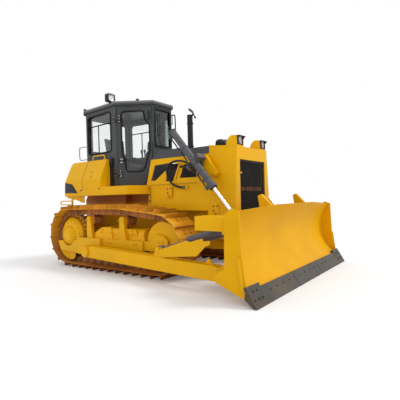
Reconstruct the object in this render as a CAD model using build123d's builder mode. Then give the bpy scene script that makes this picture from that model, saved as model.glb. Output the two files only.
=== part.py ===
from build123d import *

import os
from math import acos, asin, atan2, cos, degrees, hypot, pi, radians, sin, sqrt

# Track-type tractor with a straight blade, parked with the blade on the ground.
# Millimetres. X forward, Y to the left, Z up, ground at Z = 0.
# Lengths called "ahead" run forward from the sprocket axis.

# Driving dimensions: whole machine
tip_reach = 4328.0  # cutting edge ahead of the sprocket axis
drawbar_reach = 812.0  # drawbar end behind the sprocket axis
sprocket_x = (drawbar_reach - tip_reach) / 2
seat_gap = 0.3  # clearance where a round part lies on another
plate = 20.0  # usual steel plate

# Driving dimensions: track
gauge = 1880.0
shoe_width = 510.0
shoe_pitch = 203.2
shoe_plate = 14.0
grouser_height = 65.0
grouser_root = 30.0
grouser_tip = 14.0
grouser_place = 0.86  # share of the shoe from its pin
link_outer = 60.0  # pitch line to the seat of the shoes
link_inner = 45.0  # pitch line to the rail that the rollers run on
rail_width = 38.0
rail_gap = 96.0  # between the two rails, where the sprocket teeth run
sprocket_pitch_radius = 437.0
idler_pitch_radius = 398.0
idler_ahead = 2350.0
carrier_ahead = (600.0, 1490.0)
carrier_lift = 6.0  # top run over the carrier rollers above the sprocket top
carrier_sag = 5.0  # links cut the corner over a carrier roller by this
shoe_rise = link_outer + shoe_plate + grouser_height
track_y = gauge / 2
track_inner_y = track_y - shoe_width / 2
pitch_floor = shoe_rise  # height of the pitch line on the ground
sprocket_z = pitch_floor + sprocket_pitch_radius
idler_z = pitch_floor + idler_pitch_radius
top_run_z = sprocket_z + sprocket_pitch_radius + carrier_lift

# Driving dimensions: rollers, sprocket and final drive
sprocket_teeth = 27
sprocket_width = 70.0
tooth_height = 46.0
tooth_root = 62.0
tooth_tip = 22.0
roller_radius = 88.0
roller_flange = 108.0
roller_count = 6
roller_first_ahead = 470.0
roller_last_ahead = 1975.0
carrier_radius = 84.0
carrier_flange = 100.0
flange_width = 12.0
idler_hub_width = 196.0
idler_hub_radius = 74.0
axle_housing_radius = 200.0
final_case_radius = 290.0
hub_radius = 250.0
final_cover_radius = 335.0
final_cover_face = 1075.0
final_dome_radius = 150.0
final_dome_face = 1165.0

# Driving dimensions: hull
hull_half = 330.0
hull_floor = 400.0
hull_top = 1040.0
hull_rear = -330.0
rear_case_half = 480.0
rear_pad = 16.0  # machined pad that a ripper or winch bolts to
rear_pad_half = 400.0
rear_pad_foot_z = 720.0
rear_pad_top_z = 1200.0
rear_case_front = 900.0
side_plate_rear = 1580.0
side_plate_foot_z = 1050.0
seam_z = 1483.0
pivot_shaft_ahead = 840.0
pivot_shaft_z = 470.0
pivot_shaft_radius = 70.0
equalizer_ahead = 1960.0
equalizer_length = 160.0

# Driving dimensions: track frame
frame_inner = 780.0
frame_outer = 1100.0
frame_foot_z = 392.0
frame_top_z = 560.0
frame_rear = 480.0
frame_front = 1970.0
fork_front = 2480.0
recoil_radius = 98.0
recoil_z = 652.0
recoil_rear = 1100.0
recoil_front = 1960.0
recoil_guard_rear = 700.0
recoil_guard_front = 1185.0
recoil_guard_top_z = 763.0
sprocket_guard_plate = 15.0
cradle_rear = -330.0
cradle_plate = 44.0

# Driving dimensions: radiator guard, hood and engine
guard_front = 3389.0
guard_rear = 2880.0
guard_top_half = 481.0
guard_foot_half = 556.0
guard_foot_z = 600.0
guard_shoulder_z = 1144.0
guard_front_z = 2003.0
guard_rear_z = 2057.0
guard_wall = 24.0
grille_half = 405.0
grille_top = 1805.0
grille_foot = 840.0
grille_plate = 8.0
hood_foot_z = 1930.0
hood_top_z = 2057.0
hood_top_half = 436.0
hood_rear = 2315.0
cowl_foot_ahead = 1610.0
cowl_top_ahead = 1790.0
cowl_top_z = 2084.0
sheet = 12.0
engine_rear = 1650.0
engine_front = 2780.0
engine_half = 300.0
engine_top = 1860.0
core_front = 3290.0
core_depth = 130.0
core_half = 430.0

# Driving dimensions: exhaust and pre-cleaner
exhaust_ahead = 2128.0
exhaust_top = 2726.0
exhaust_radius = 50.0
exhaust_wall = 4.0
cap_radius = 60.0
cap_open = 50.0  # degrees that the rain cap stands open
cleaner_ahead = 2776.0
cleaner_radius = 84.0
cleaner_top = 2216.0

# Driving dimensions: cab, a hexagon in plan
cab_rear = -110.0
cab_rear_half = 578.0
cab_hip = 875.0
cab_hip_half = 650.0
cab_nose = 1464.0
cab_nose_half = 253.0
cab_eave_z = 2985.0
roof_top_z = 3062.0
cab_wall = 50.0
cab_floor = 40.0
roof_overhang = 34.0
glass = 6.0
door_leaf = 40.0
door_gap = 8.0
door_sill = 14.0
door_post = 22.0
hinge_out = 18.0
hinge_pin = 7.0
hinge_knuckle = 13.0
hinge_length = 70.0

# Driving dimensions: deck, fender boxes and tank
deck_half = 900.0
deck_foot_z = 1325.0
deck_rear_z = 1372.0
deck_top_z = 1480.0
deck_turn = 1416.0
deck_nose_half = 560.0
box_top_half = 740.0
box_crease_z = 1630.0
box_top_z = 2000.0
box_front = 704.0
box_rear = 150.0
box_inner = 672.0
tank_rear = -434.0

# Driving dimensions: blade
blade_half = 1694.0
moldboard_half = 1628.0
blade_top_z = 1071.0
blade_crown_z = 1119.0
crown_half = 700.0
edge_clear = 5.0
moldboard_plate = 25.0
end_plate = 26.0

# Driving dimensions: push arms and braces
trunnion_ahead = 850.0
trunnion_z = 365.0
trunnion_radius = 62.0
arm_cap_radius = 108.0
arm_inner_y = 1222.0
arm_width = 150.0
arm_height = 196.0
arm_pin_ahead = 3680.0
arm_pin_z = 250.0
arm_pin_radius = 36.0
clevis_plate = 30.0
brace_foot_ahead = 2560.0
brace_foot_z = 500.0
brace_head_ahead = 3850.0
brace_head_y = 1080.0
brace_head_z = 860.0
brace_barrel_radius = 74.0
brace_rod_radius = 30.0
brace_lug_inset = 14.0

# Driving dimensions: lift cylinders
lift_y = 750.0
lift_pivot_ahead = 2796.0
lift_pivot_z = 1781.0
lift_pin_ahead = 3720.0
lift_pin_z = 683.0
barrel_radius = 55.0
barrel_wall = 14.0
barrel_cap = 24.0
gland_length = 30.0
gland_collar = 60.0
rod_radius = 26.0
eye_radius = 52.0
eye_width = 60.0
eye_room = 7.0
barrel_back = 681.0  # closed end behind the pivot
barrel_front = 532.0  # gland face ahead of the pivot
piston_length = 30.0
piston_stop = 1346.0  # back of the piston from the rod eye
yoke_shaft_radius = 42.0
yoke_support_y = 620.0


def side(y):
    """Upright plane at y: drawn ahead and up, extruded to the right."""
    return Plane(origin=(sprocket_x, y, 0), x_dir=(1, 0, 0), z_dir=(0, -1, 0))


def across(ahead):
    """Upright plane across the machine: drawn left and up, extruded forward."""
    return Plane(origin=(sprocket_x + ahead, 0, 0), x_dir=(0, 1, 0), z_dir=(1, 0, 0))


def level(z):
    """Level plane: drawn ahead and left, extruded up."""
    return Plane(origin=(sprocket_x, 0, z))


def write(piece, name):
    """Labels a finished piece and writes its file."""
    piece.part.label = name
    export_step(piece.part, f"parts/{name}.step")


os.makedirs("parts", exist_ok=True)


# Pitch line of the track
def pitch_path():
    """Closed pitch line in the ahead and up plane, starting under the sprocket."""
    last_carrier = carrier_ahead[1]
    run = hypot(idler_ahead - last_carrier, idler_z - top_run_z)
    slope = atan2(idler_z - top_run_z, idler_ahead - last_carrier)
    lean = slope + asin(idler_pitch_radius / run)
    reach = sqrt(run**2 - idler_pitch_radius**2)
    touch = (last_carrier + reach * cos(lean), top_run_z + reach * sin(lean))
    top_angle = degrees(atan2(touch[1] - idler_z, touch[0] - idler_ahead))
    with BuildLine() as path:
        Line((0, pitch_floor), (idler_ahead, pitch_floor))
        CenterArc((idler_ahead, idler_z), idler_pitch_radius, -90, top_angle + 90)
        Polyline(
            touch,
            (last_carrier, top_run_z),
            (carrier_ahead[0], top_run_z),
            (0, sprocket_z + sprocket_pitch_radius),
        )
        CenterArc((0, sprocket_z), sprocket_pitch_radius, 90, 180)
    return path.wire()


loop = pitch_path()
shoe_count = round(loop.length / shoe_pitch)
pins = [loop @ (index / shoe_count) for index in range(shoe_count)]


def miter(index, out):
    """Point out of the loop at a pin, square to both links that meet there."""
    before = pins[index] - pins[index - 1]
    after = pins[(index + 1) % shoe_count] - pins[index]
    normals = [Vector(way.Y, -way.X).normalized() for way in (before, after)]
    outward = (normals[0] + normals[1]).normalized()
    return pins[index] + outward * (out / outward.dot(normals[1]))


def grouser(index):
    """Outline of the one grouser that stands on a shoe, near its leading edge."""
    start, end = pins[index], pins[(index + 1) % shoe_count]
    along = (end - start).normalized()
    outward = Vector(along.Y, -along.X)
    crest = start + (end - start) * grouser_place
    root = crest + outward * (link_outer + shoe_plate)
    tip = crest + outward * shoe_rise
    return [
        root - along * grouser_root / 2,
        tip - along * grouser_tip / 2,
        tip + along * grouser_tip / 2,
        root + along * grouser_root / 2,
    ]


def pairs(points):
    """Points as plain pairs for a sketch."""
    return [(point.X, point.Y) for point in points]


def ring(outer, inner):
    """A closed band between two outlines, in the sketch being drawn."""
    Polygon(*pairs(outer), align=None)
    Polygon(*pairs(inner), align=None, mode=Mode.SUBTRACT)


def build_track():
    """The right-hand track: shoes in the outline of one loop, on two rails."""
    tread = []
    for index in range(shoe_count):
        tread.append(miter(index, link_outer + shoe_plate))
        tread.extend(grouser(index))
    seat = [miter(index, link_outer) for index in range(shoe_count)]
    rail_top = [miter(index, link_outer + 1) for index in range(shoe_count)]
    rail_run = [miter(index, -link_inner) for index in range(shoe_count)]
    rail_centre = rail_gap / 2 + rail_width / 2
    with BuildPart() as track:
        with BuildSketch(side(-track_inner_y)):
            ring(tread, seat)
        extrude(amount=shoe_width)
        for rail_y in (track_y - rail_centre, track_y + rail_centre):
            with BuildSketch(side(-(rail_y - rail_width / 2))):
                ring(rail_top, rail_run)
            extrude(amount=rail_width)
    return track


track_right = build_track()
write(track_right, "track_right")
with BuildPart() as track_left:
    add(track_right.part.mirror(Plane.XZ))
write(track_left, "track_left")


# Running gear
def axle(ahead, z):
    """Axis across the machine at a wheel's centre."""
    return Axis((sprocket_x + ahead, 0, z), (0, 1, 0))


def turned(ahead, profile):
    """Points of a wheel's half section, given as radius and place across."""
    return [(ahead + radius, -y) for radius, y in profile]


chord_reach = sqrt(idler_pitch_radius**2 - (loop.length / shoe_count / 2) ** 2)
idler_tread = chord_reach - link_inner - seat_gap
rail_z = pitch_floor + link_inner
tread_half = rail_gap / 2 + rail_width
flange_half = rail_gap / 2 - door_gap

idler_profile = [
    (0, track_y - idler_hub_width / 2),
    (idler_hub_radius, track_y - idler_hub_width / 2),
    (idler_hub_radius + 30, track_y - tread_half),
    (idler_tread, track_y - tread_half),
    (idler_tread, track_y - flange_half),
    (idler_tread + 18, track_y - flange_half),
    (idler_tread + 18, track_y + flange_half),
    (idler_tread, track_y + flange_half),
    (idler_tread, track_y + tread_half),
    (idler_hub_radius + 30, track_y + tread_half),
    (idler_hub_radius, track_y + idler_hub_width / 2),
    (0, track_y + idler_hub_width / 2),
]
with BuildPart() as idlers:
    with BuildSketch(level(idler_z)):
        Polygon(*turned(idler_ahead, idler_profile), align=None)
    revolve(axis=axle(idler_ahead, idler_z))
    mirror(about=Plane.XZ)
write(idlers, "idlers")


def roller_profile(radius, flange):
    """Half section of a roller with a flange outside each rail."""
    end = tread_half + flange_width
    return [
        (0, track_y - end),
        (flange, track_y - end),
        (flange, track_y - tread_half),
        (radius, track_y - tread_half),
        (radius, track_y + tread_half),
        (flange, track_y + tread_half),
        (flange, track_y + end),
        (0, track_y + end),
    ]


roller_z = rail_z + roller_radius + seat_gap
roller_step = (roller_last_ahead - roller_first_ahead) / (roller_count - 1)
roller_places = [roller_first_ahead + roller_step * n for n in range(roller_count)]
with BuildPart() as track_rollers:
    for ahead in roller_places:
        with BuildSketch(level(roller_z)):
            Polygon(*turned(ahead, roller_profile(roller_radius, roller_flange)), align=None)
        revolve(axis=axle(ahead, roller_z))
    mirror(about=Plane.XZ)
write(track_rollers, "track_rollers")

carrier_z = top_run_z - link_inner - carrier_radius - carrier_sag
with BuildPart() as carrier_rollers:
    for ahead in carrier_ahead:
        with BuildSketch(level(carrier_z)):
            Polygon(*turned(ahead, roller_profile(carrier_radius, carrier_flange)), align=None)
        revolve(axis=axle(ahead, carrier_z))
    mirror(about=Plane.XZ)
write(carrier_rollers, "carrier_rollers")

# Sprockets: toothed rings on the final drive hubs
rim_radius = sprocket_pitch_radius - tooth_height / 2
with BuildPart() as sprockets:
    with BuildSketch(side(-(track_y - sprocket_width / 2))):
        with Locations((0, sprocket_z)):
            Circle(rim_radius)
            with PolarLocations(rim_radius - 4, sprocket_teeth):
                Polygon(
                    (0, -tooth_root / 2),
                    (tooth_height, -tooth_tip / 2),
                    (tooth_height, tooth_tip / 2),
                    (0, tooth_root / 2),
                    align=None,
                )
            Circle(hub_radius + seat_gap, mode=Mode.SUBTRACT)
    extrude(amount=sprocket_width)
    mirror(about=Plane.XZ)
write(sprockets, "sprockets")

cover_y = track_y + sprocket_width / 2 + seat_gap
final_profile = [
    (0, rear_case_half),
    (axle_housing_radius, rear_case_half),
    (axle_housing_radius, track_inner_y - 20),
    (final_case_radius, track_inner_y + 20),
    (final_case_radius, track_y - tread_half),
    (hub_radius, track_y - tread_half),
    (hub_radius, cover_y),
    (final_cover_radius, cover_y),
    (final_cover_radius, final_cover_face - 40),
    (final_cover_radius - 50, final_cover_face),
    (final_dome_radius + 40, final_cover_face + 14),
    (final_dome_radius, final_dome_face - 30),
    (final_dome_radius - 40, final_dome_face),
    (0, final_dome_face),
]
with BuildPart() as final_drives:
    with BuildSketch(level(sprocket_z)):
        Polygon(*turned(0, final_profile), align=None)
    revolve(axis=axle(0, sprocket_z))
    mirror(about=Plane.XZ)
write(final_drives, "final_drives")

# Track frames: box beam, recoil housing, idler fork, posts and outer cradle
frame_bottom = [
    (frame_rear, frame_foot_z),
    (frame_front, frame_foot_z),
    (frame_front, frame_top_z),
    (frame_rear, frame_top_z),
]
cradle = [
    (cradle_rear, 470),
    (cradle_rear + 90, 285),
    (160, 285),
    (frame_rear - 160, trunnion_z - arm_cap_radius),
    (trunnion_ahead + 110, trunnion_z - arm_cap_radius),
    (trunnion_ahead + 110, frame_top_z),
    (300, frame_top_z),
    (260, 500),
]
fork = [
    (frame_front - 80, frame_foot_z + 20),
    (fork_front - 60, frame_foot_z + 20),
    (fork_front, 470),
    (fork_front, 590),
    (2400, 660),
    (2230, 680),
    (2100, frame_top_z),
    (frame_front - 80, frame_top_z),
]
fork_inner = idler_hub_width / 2 + seat_gap
fork_plate = 30.0
post_y = track_y + tread_half + flange_width + seat_gap
with BuildPart() as track_frames:
    with BuildSketch(side(-frame_inner)):
        Polygon(*frame_bottom, align=None)
    extrude(amount=frame_outer - frame_inner)
    with BuildSketch(side(-frame_outer)):
        Polygon(*cradle, align=None)
        with Locations((0, sprocket_z)):
            Circle(final_dome_radius + 40 + seat_gap, mode=Mode.SUBTRACT)
    extrude(amount=cradle_plate)
    with BuildSketch(across(recoil_rear)):
        with Locations((-track_y, recoil_z)):
            Circle(recoil_radius)
        with Locations((-track_y, (recoil_z + frame_top_z) / 2)):
            Rectangle(2 * recoil_radius, recoil_z - frame_top_z)
    extrude(amount=recoil_front - recoil_rear)
    with BuildSketch(side(-track_y + recoil_radius + plate)):
        Polygon(
            (recoil_guard_rear, frame_top_z - plate),
            (recoil_guard_rear, recoil_z - 60),
            (recoil_guard_rear + 30, recoil_z + 10),
            (recoil_guard_rear + 215, recoil_guard_top_z - 6),
            (recoil_guard_front - 35, recoil_guard_top_z),
            (recoil_guard_front, recoil_z + 50),
            (recoil_guard_front, frame_top_z - plate),
            align=None,
        )
    extrude(amount=2 * recoil_radius + 2 * plate)
    with BuildSketch(across(recoil_front - plate)):
        with Locations((-track_y, recoil_z)):
            Circle(recoil_radius + 16)
    extrude(amount=plate)
    with BuildSketch(side(-frame_outer + sprocket_guard_plate)):
        Polygon(
            (cradle_rear + 9, 320),
            (cradle_rear + 80, 205),
            (cradle_rear + 210, 140),
            (0, 118),
            (90, 130),
            (150, 180),
            (170, 320),
            align=None,
        )
    extrude(amount=sprocket_guard_plate)
    for fork_y in (track_y - fork_inner - fork_plate, track_y + fork_inner):
        with BuildSketch(side(-fork_y)):
            Polygon(*fork, align=None)
        extrude(amount=fork_plate)
    for ahead in carrier_ahead:
        with BuildSketch(side(-post_y)):
            Polygon(
                (ahead - 70, frame_top_z),
                (ahead + 90, frame_top_z),
                (ahead + 60, carrier_z - 120),
                (ahead + 60, carrier_z + 50),
                (ahead - 60, carrier_z + 50),
                align=None,
            )
        extrude(amount=frame_outer - post_y)
    for ahead in roller_places:
        for collar_y in (post_y, track_y - tread_half - flange_width - seat_gap - 30):
            with BuildSketch(side(-collar_y)):
                Polygon(
                    (ahead - 60, frame_foot_z),
                    (ahead + 60, frame_foot_z),
                    (ahead + 45, roller_z - 45),
                    (ahead - 45, roller_z - 45),
                    align=None,
                )
            extrude(amount=30)
    with BuildSketch(side(-frame_outer)):
        with Locations((trunnion_ahead, trunnion_z)):
            Circle(trunnion_radius)
    extrude(amount=arm_inner_y + arm_width - 20 - frame_outer)
    mirror(about=Plane.XZ)
write(track_frames, "track_frames")

# Route of the right lift hose, from the side plate to the yoke support
hose_radius = 17.0
hose_fitting = 26.0
hose_route = [
    (2440, -560, 1410),
    (2340, -560, 1410),
    (2200, -575, 1450),
    (2100, -590, 1560),
    (2068, -600, 1700),
    (2135, -600, 1815),
    (2280, -595, 1855),
    (2440, -585, 1835),
    (2560, -580, lift_pivot_z),
    (lift_pivot_ahead - 120, -580, lift_pivot_z),
]

# Hull: rear case, lower frame, belly, side plates and cross members
def guard_half(z):
    """Half width of the engine bay's slanted side at a height."""
    if z <= guard_shoulder_z:
        return guard_foot_half
    rise = (z - guard_shoulder_z) / (guard_front_z - guard_shoulder_z)
    return guard_foot_half + (guard_top_half - guard_foot_half) * rise


def bay_side(foot, top, inset):
    """Right and left corners of the engine bay between two heights."""
    levels = [foot]
    if foot < guard_shoulder_z < top:
        levels.append(guard_shoulder_z)
    levels.append(top)
    left = [(guard_half(z) - inset, z) for z in levels]
    return left + [(-y, z) for y, z in reversed(left)]


with BuildPart() as main_frame:
    with BuildSketch(side(hull_half)):
        Polygon(
            (hull_rear, hull_floor + 160),
            (hull_rear + 120, hull_floor),
            (guard_front - 320, hull_floor),
            (guard_front - 90, guard_foot_z - seat_gap),
            (guard_rear, guard_foot_z - seat_gap),
            (guard_rear, hull_top),
            (hull_rear, hull_top),
            align=None,
        )
    extrude(amount=2 * hull_half)
    with BuildSketch(side(rear_case_half)):
        Polygon(
            (hull_rear, hull_floor + 160),
            (hull_rear + 120, hull_floor + 60),
            (rear_case_front, hull_floor + 60),
            (rear_case_front, deck_foot_z),
            (hull_rear + 60, deck_foot_z),
            (hull_rear, deck_foot_z - 80),
            align=None,
        )
    extrude(amount=2 * rear_case_half)
    with BuildSketch(across(hull_rear - rear_pad)):
        with Locations((0, (rear_pad_foot_z + rear_pad_top_z) / 2)):
            Rectangle(2 * rear_pad_half, rear_pad_top_z - rear_pad_foot_z)
    extrude(amount=rear_pad)
    with BuildSketch(side(hull_half)):
        Polygon(
            (rear_case_front, hull_top),
            (side_plate_rear, hull_top),
            (side_plate_rear, deck_foot_z),
            (rear_case_front, deck_foot_z),
            align=None,
        )
    extrude(amount=2 * hull_half)
    with BuildSketch(across(side_plate_rear)):
        Polygon(*bay_side(side_plate_foot_z - plate, seam_z, 0), align=None)
        Polygon(*bay_side(side_plate_foot_z, seam_z, sheet), align=None, mode=Mode.SUBTRACT)
    extrude(amount=guard_rear - side_plate_rear)
    with BuildSketch(side(frame_inner)):
        with Locations((pivot_shaft_ahead, pivot_shaft_z)):
            Circle(pivot_shaft_radius)
    extrude(amount=2 * frame_inner)
    with BuildSketch(side(frame_inner)):
        with Locations((equalizer_ahead, (hull_floor + frame_top_z) / 2)):
            Rectangle(equalizer_length, frame_top_z - hull_floor)
    extrude(amount=2 * frame_inner)
    for fitting_side in (-1, 1):
        with BuildSketch(across(hose_route[0][0])):
            with Locations((fitting_side * (guard_foot_half - 10), hose_route[0][2])):
                Rectangle(2 * hose_fitting, 2 * hose_fitting)
        extrude(amount=2 * hose_fitting)
write(main_frame, "main_frame")

# Drawbar: a bored tongue on the rear case
drawbar_thick = 50.0
drawbar_half = 80.0
drawbar_bore = 27.0
drawbar_z = hull_floor + 160
with BuildPart() as drawbar:
    with BuildSketch(level(drawbar_z)):
        with Locations(((hull_rear - drawbar_reach + drawbar_half) / 2, 0)):
            Rectangle(drawbar_reach + hull_rear - drawbar_half, 2 * drawbar_half)
        with Locations((-drawbar_reach + drawbar_half, 0)):
            Circle(drawbar_half)
            Circle(drawbar_bore, mode=Mode.SUBTRACT)
    extrude(amount=drawbar_thick)
    with BuildSketch(level(drawbar_z - 60)):
        with Locations((hull_rear - 60, 0)):
            Rectangle(120, 260)
    extrude(amount=60)
    with BuildSketch(level(drawbar_z + drawbar_thick)):
        with Locations((hull_rear - 60, 0)):
            Rectangle(120, 260)
    extrude(amount=60)
write(drawbar, "drawbar")

# Radiator guard with its yoke supports
with BuildPart() as radiator_guard:
    with BuildSketch(across(guard_rear)):
        Polygon(*bay_side(guard_foot_z, guard_rear_z, 0), align=None)
        Polygon(
            *bay_side(guard_foot_z + guard_wall, guard_rear_z + guard_wall, guard_wall),
            align=None,
            mode=Mode.SUBTRACT,
        )
    extrude(amount=guard_front - guard_rear)
    with BuildSketch(across(guard_front - guard_wall)):
        Polygon(*bay_side(guard_foot_z, guard_rear_z, 0), align=None)
        with Locations((0, (grille_foot + grille_top) / 2)):
            Rectangle(2 * grille_half, grille_top - grille_foot, mode=Mode.SUBTRACT)
    extrude(amount=guard_wall)
    with BuildSketch(side(guard_top_half + 20)):
        Polygon(
            (guard_rear, guard_rear_z - guard_wall),
            (guard_front, guard_front_z - guard_wall),
            (guard_front, guard_front_z),
            (guard_rear, guard_rear_z),
            align=None,
        )
    extrude(amount=2 * guard_top_half + 40)
    with BuildSketch(side(2 * guard_foot_half)):
        Polygon(
            (guard_rear, guard_rear_z),
            (guard_front, guard_front_z),
            (guard_front + plate, guard_front_z),
            (guard_front + plate, guard_rear_z + 5 * plate),
            (guard_rear, guard_rear_z + 5 * plate),
            align=None,
        )
    extrude(amount=4 * guard_foot_half, mode=Mode.SUBTRACT)
    with BuildSketch(across(guard_rear)):
        Polygon(
            (guard_half(guard_rear_z), guard_rear_z + plate),
            (guard_half(guard_shoulder_z), guard_shoulder_z),
            (guard_foot_half, guard_foot_z - plate),
            (guard_foot_half + 200, guard_foot_z - plate),
            (guard_foot_half + 200, guard_rear_z + plate),
            align=None,
        )
        mirror(about=Plane.YZ)
    extrude(amount=guard_front - guard_rear, mode=Mode.SUBTRACT)
    with BuildSketch(side(-guard_half(lift_pivot_z) - 40)):
        Polygon(
            (lift_pivot_ahead - 86, lift_pivot_z),
            (lift_pivot_ahead - 30, lift_pivot_z + 92),
            (guard_rear + 20, lift_pivot_z + 110),
            (guard_rear + 240, lift_pivot_z - 180),
            (guard_rear + 200, lift_pivot_z - 220),
            (lift_pivot_ahead - 30, lift_pivot_z - 92),
            align=None,
        )
    extrude(amount=yoke_support_y - guard_half(lift_pivot_z) - 40)
    with BuildSketch(side(-guard_half(lift_pivot_z))):
        Polygon(
            (guard_rear + 4, lift_pivot_z + 90),
            (guard_rear + 230, lift_pivot_z - 190),
            (guard_rear + 200, lift_pivot_z - 220),
            (guard_rear + 4, lift_pivot_z - 150),
            align=None,
        )
    extrude(amount=60)
    with BuildSketch(across(hose_route[-1][0])):
        with Locations((hose_route[-1][1], hose_route[-1][2])):
            Rectangle(2 * hose_fitting, 2 * hose_fitting)
    extrude(amount=2 * hose_fitting)
    with BuildSketch(side(-guard_half(lift_pivot_z) - 40)):
        with Locations((lift_pivot_ahead, lift_pivot_z)):
            Circle(yoke_shaft_radius + seat_gap)
    extrude(amount=200, mode=Mode.SUBTRACT)
    mirror(about=Plane.XZ)
write(radiator_guard, "radiator_guard")

# Grille: a perforated plate in the guard's opening
grille_columns = 12
grille_rows = 14
grille_margin = 30.0
grille_pitch_y = (2 * grille_half - 2 * grille_margin) / grille_columns
grille_pitch_z = (grille_top - grille_foot - 2 * grille_margin) / grille_rows
grille_hole = 34.0
grille_z = (grille_foot + grille_top) / 2
with BuildPart() as radiator_grille:
    with BuildSketch(across(guard_front - guard_wall)):
        with Locations((0, grille_z)):
            Rectangle(2 * grille_half, grille_top - grille_foot)
            with GridLocations(grille_pitch_y, grille_pitch_z, grille_columns, grille_rows):
                Rectangle(grille_hole, grille_hole, rotation=45, mode=Mode.SUBTRACT)
    extrude(amount=grille_plate)
write(radiator_grille, "radiator_grille")

with BuildPart() as radiator_core:
    with BuildSketch(across(core_front - core_depth)):
        with Locations((0, (guard_foot_z + guard_wall + grille_top) / 2)):
            Rectangle(2 * core_half, grille_top - guard_foot_z - guard_wall)
    extrude(amount=core_depth)
write(radiator_core, "radiator_core")

with BuildPart() as engine_block:
    with BuildSketch(level(side_plate_foot_z)):
        with Locations(((engine_rear + engine_front) / 2, 0)):
            Rectangle(engine_front - engine_rear, 2 * engine_half)
    extrude(amount=engine_top - side_plate_foot_z)
    chamfer(engine_block.edges().filter_by(Axis.X).group_by(Axis.Z)[-1], 120)
write(engine_block, "engine_block")

# Hood sides: slanted plates with three openings each
with BuildPart() as hood_sides:
    with BuildSketch(across(side_plate_rear - 60)):
        Polygon(
            (guard_half(seam_z), seam_z),
            (guard_half(hood_foot_z), hood_foot_z),
            (guard_half(hood_foot_z) - sheet, hood_foot_z),
            (guard_half(seam_z) - sheet, seam_z),
            align=None,
        )
    extrude(amount=guard_rear - side_plate_rear + 60)
    mirror(about=Plane.XZ)
    with BuildSketch(side(2 * guard_foot_half)):
        Polygon(
            (side_plate_rear - 60, seam_z),
            (cowl_foot_ahead, hood_foot_z),
            (side_plate_rear - 60, hood_foot_z),
            align=None,
        )
        Polygon(
            (1624, 1556),
            (1705, 1822),
            (2039, 1839),
            (2262, 1822),
            (2140, 1524),
            (1985, 1530),
            (1985, 1725),
            (1730, 1552),
            align=None,
        )
        Polygon((2367, 1790), (2640, 1800), (2640, 1568), (2288, 1572), align=None)
    extrude(amount=4 * guard_foot_half, mode=Mode.SUBTRACT)
write(hood_sides, "hood_sides")

# Hood top and cowl: folded sheets that stand on the hood sides
with BuildPart() as hood_top:
    with BuildSketch(across(hood_rear)):
        Polygon(
            (guard_half(hood_foot_z), hood_foot_z),
            (hood_top_half, hood_top_z),
            (-hood_top_half, hood_top_z),
            (-guard_half(hood_foot_z), hood_foot_z),
            align=None,
        )
        Polygon(
            (guard_half(hood_foot_z) - sheet, hood_foot_z),
            (hood_top_half - sheet, hood_top_z - sheet),
            (-hood_top_half + sheet, hood_top_z - sheet),
            (-guard_half(hood_foot_z) + sheet, hood_foot_z),
            align=None,
            mode=Mode.SUBTRACT,
        )
    extrude(amount=guard_rear - hood_rear)
write(hood_top, "hood_top")

with BuildPart() as cowl:
    with BuildSketch(across(cowl_foot_ahead)):
        Polygon(
            (guard_half(hood_foot_z), hood_foot_z),
            (hood_top_half, cowl_top_z),
            (-hood_top_half, cowl_top_z),
            (-guard_half(hood_foot_z), hood_foot_z),
            align=None,
        )
        Polygon(
            (guard_half(hood_foot_z) - sheet, hood_foot_z),
            (hood_top_half - sheet, cowl_top_z - sheet),
            (-hood_top_half + sheet, cowl_top_z - sheet),
            (-guard_half(hood_foot_z) + sheet, hood_foot_z),
            align=None,
            mode=Mode.SUBTRACT,
        )
    extrude(amount=hood_rear - cowl_foot_ahead)
    with BuildSketch(side(2 * guard_foot_half)):
        Polygon(
            (cowl_foot_ahead, hood_foot_z),
            (cowl_top_ahead, cowl_top_z),
            (cowl_foot_ahead, cowl_top_z),
            align=None,
        )
    extrude(amount=4 * guard_foot_half, mode=Mode.SUBTRACT)
write(cowl, "cowl")

# Exhaust pipe, rain cap and pre-cleaner
cap_hinge = (exhaust_ahead + exhaust_radius + 26, exhaust_top + 12)
with BuildPart() as exhaust_pipe:
    with BuildSketch(level(cowl_top_z)):
        with Locations((exhaust_ahead, 0)):
            Circle(exhaust_radius + 26)
    extrude(amount=14)
    with BuildSketch(level(cowl_top_z)):
        with Locations((exhaust_ahead, 0)):
            Circle(exhaust_radius)
    extrude(amount=exhaust_top - cowl_top_z)
    with BuildSketch(level(exhaust_top - 250)):
        with Locations((exhaust_ahead, 0)):
            Circle(exhaust_radius - exhaust_wall)
    extrude(amount=260, mode=Mode.SUBTRACT)
    for ear_y in (14, -8):
        with BuildSketch(side(ear_y)):
            Polygon(
                (exhaust_ahead + exhaust_radius - 2, exhaust_top - 34),
                (cap_hinge[0] + 9, cap_hinge[1] - 10),
                (cap_hinge[0] + 9, cap_hinge[1] + 8),
                (cap_hinge[0] - 8, cap_hinge[1] + 8),
                (cap_hinge[0] - 12, cap_hinge[1] - 10),
                (exhaust_ahead + exhaust_radius - 2, exhaust_top - 6),
                align=None,
            )
        extrude(amount=6)
write(exhaust_pipe, "exhaust_pipe")

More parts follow.
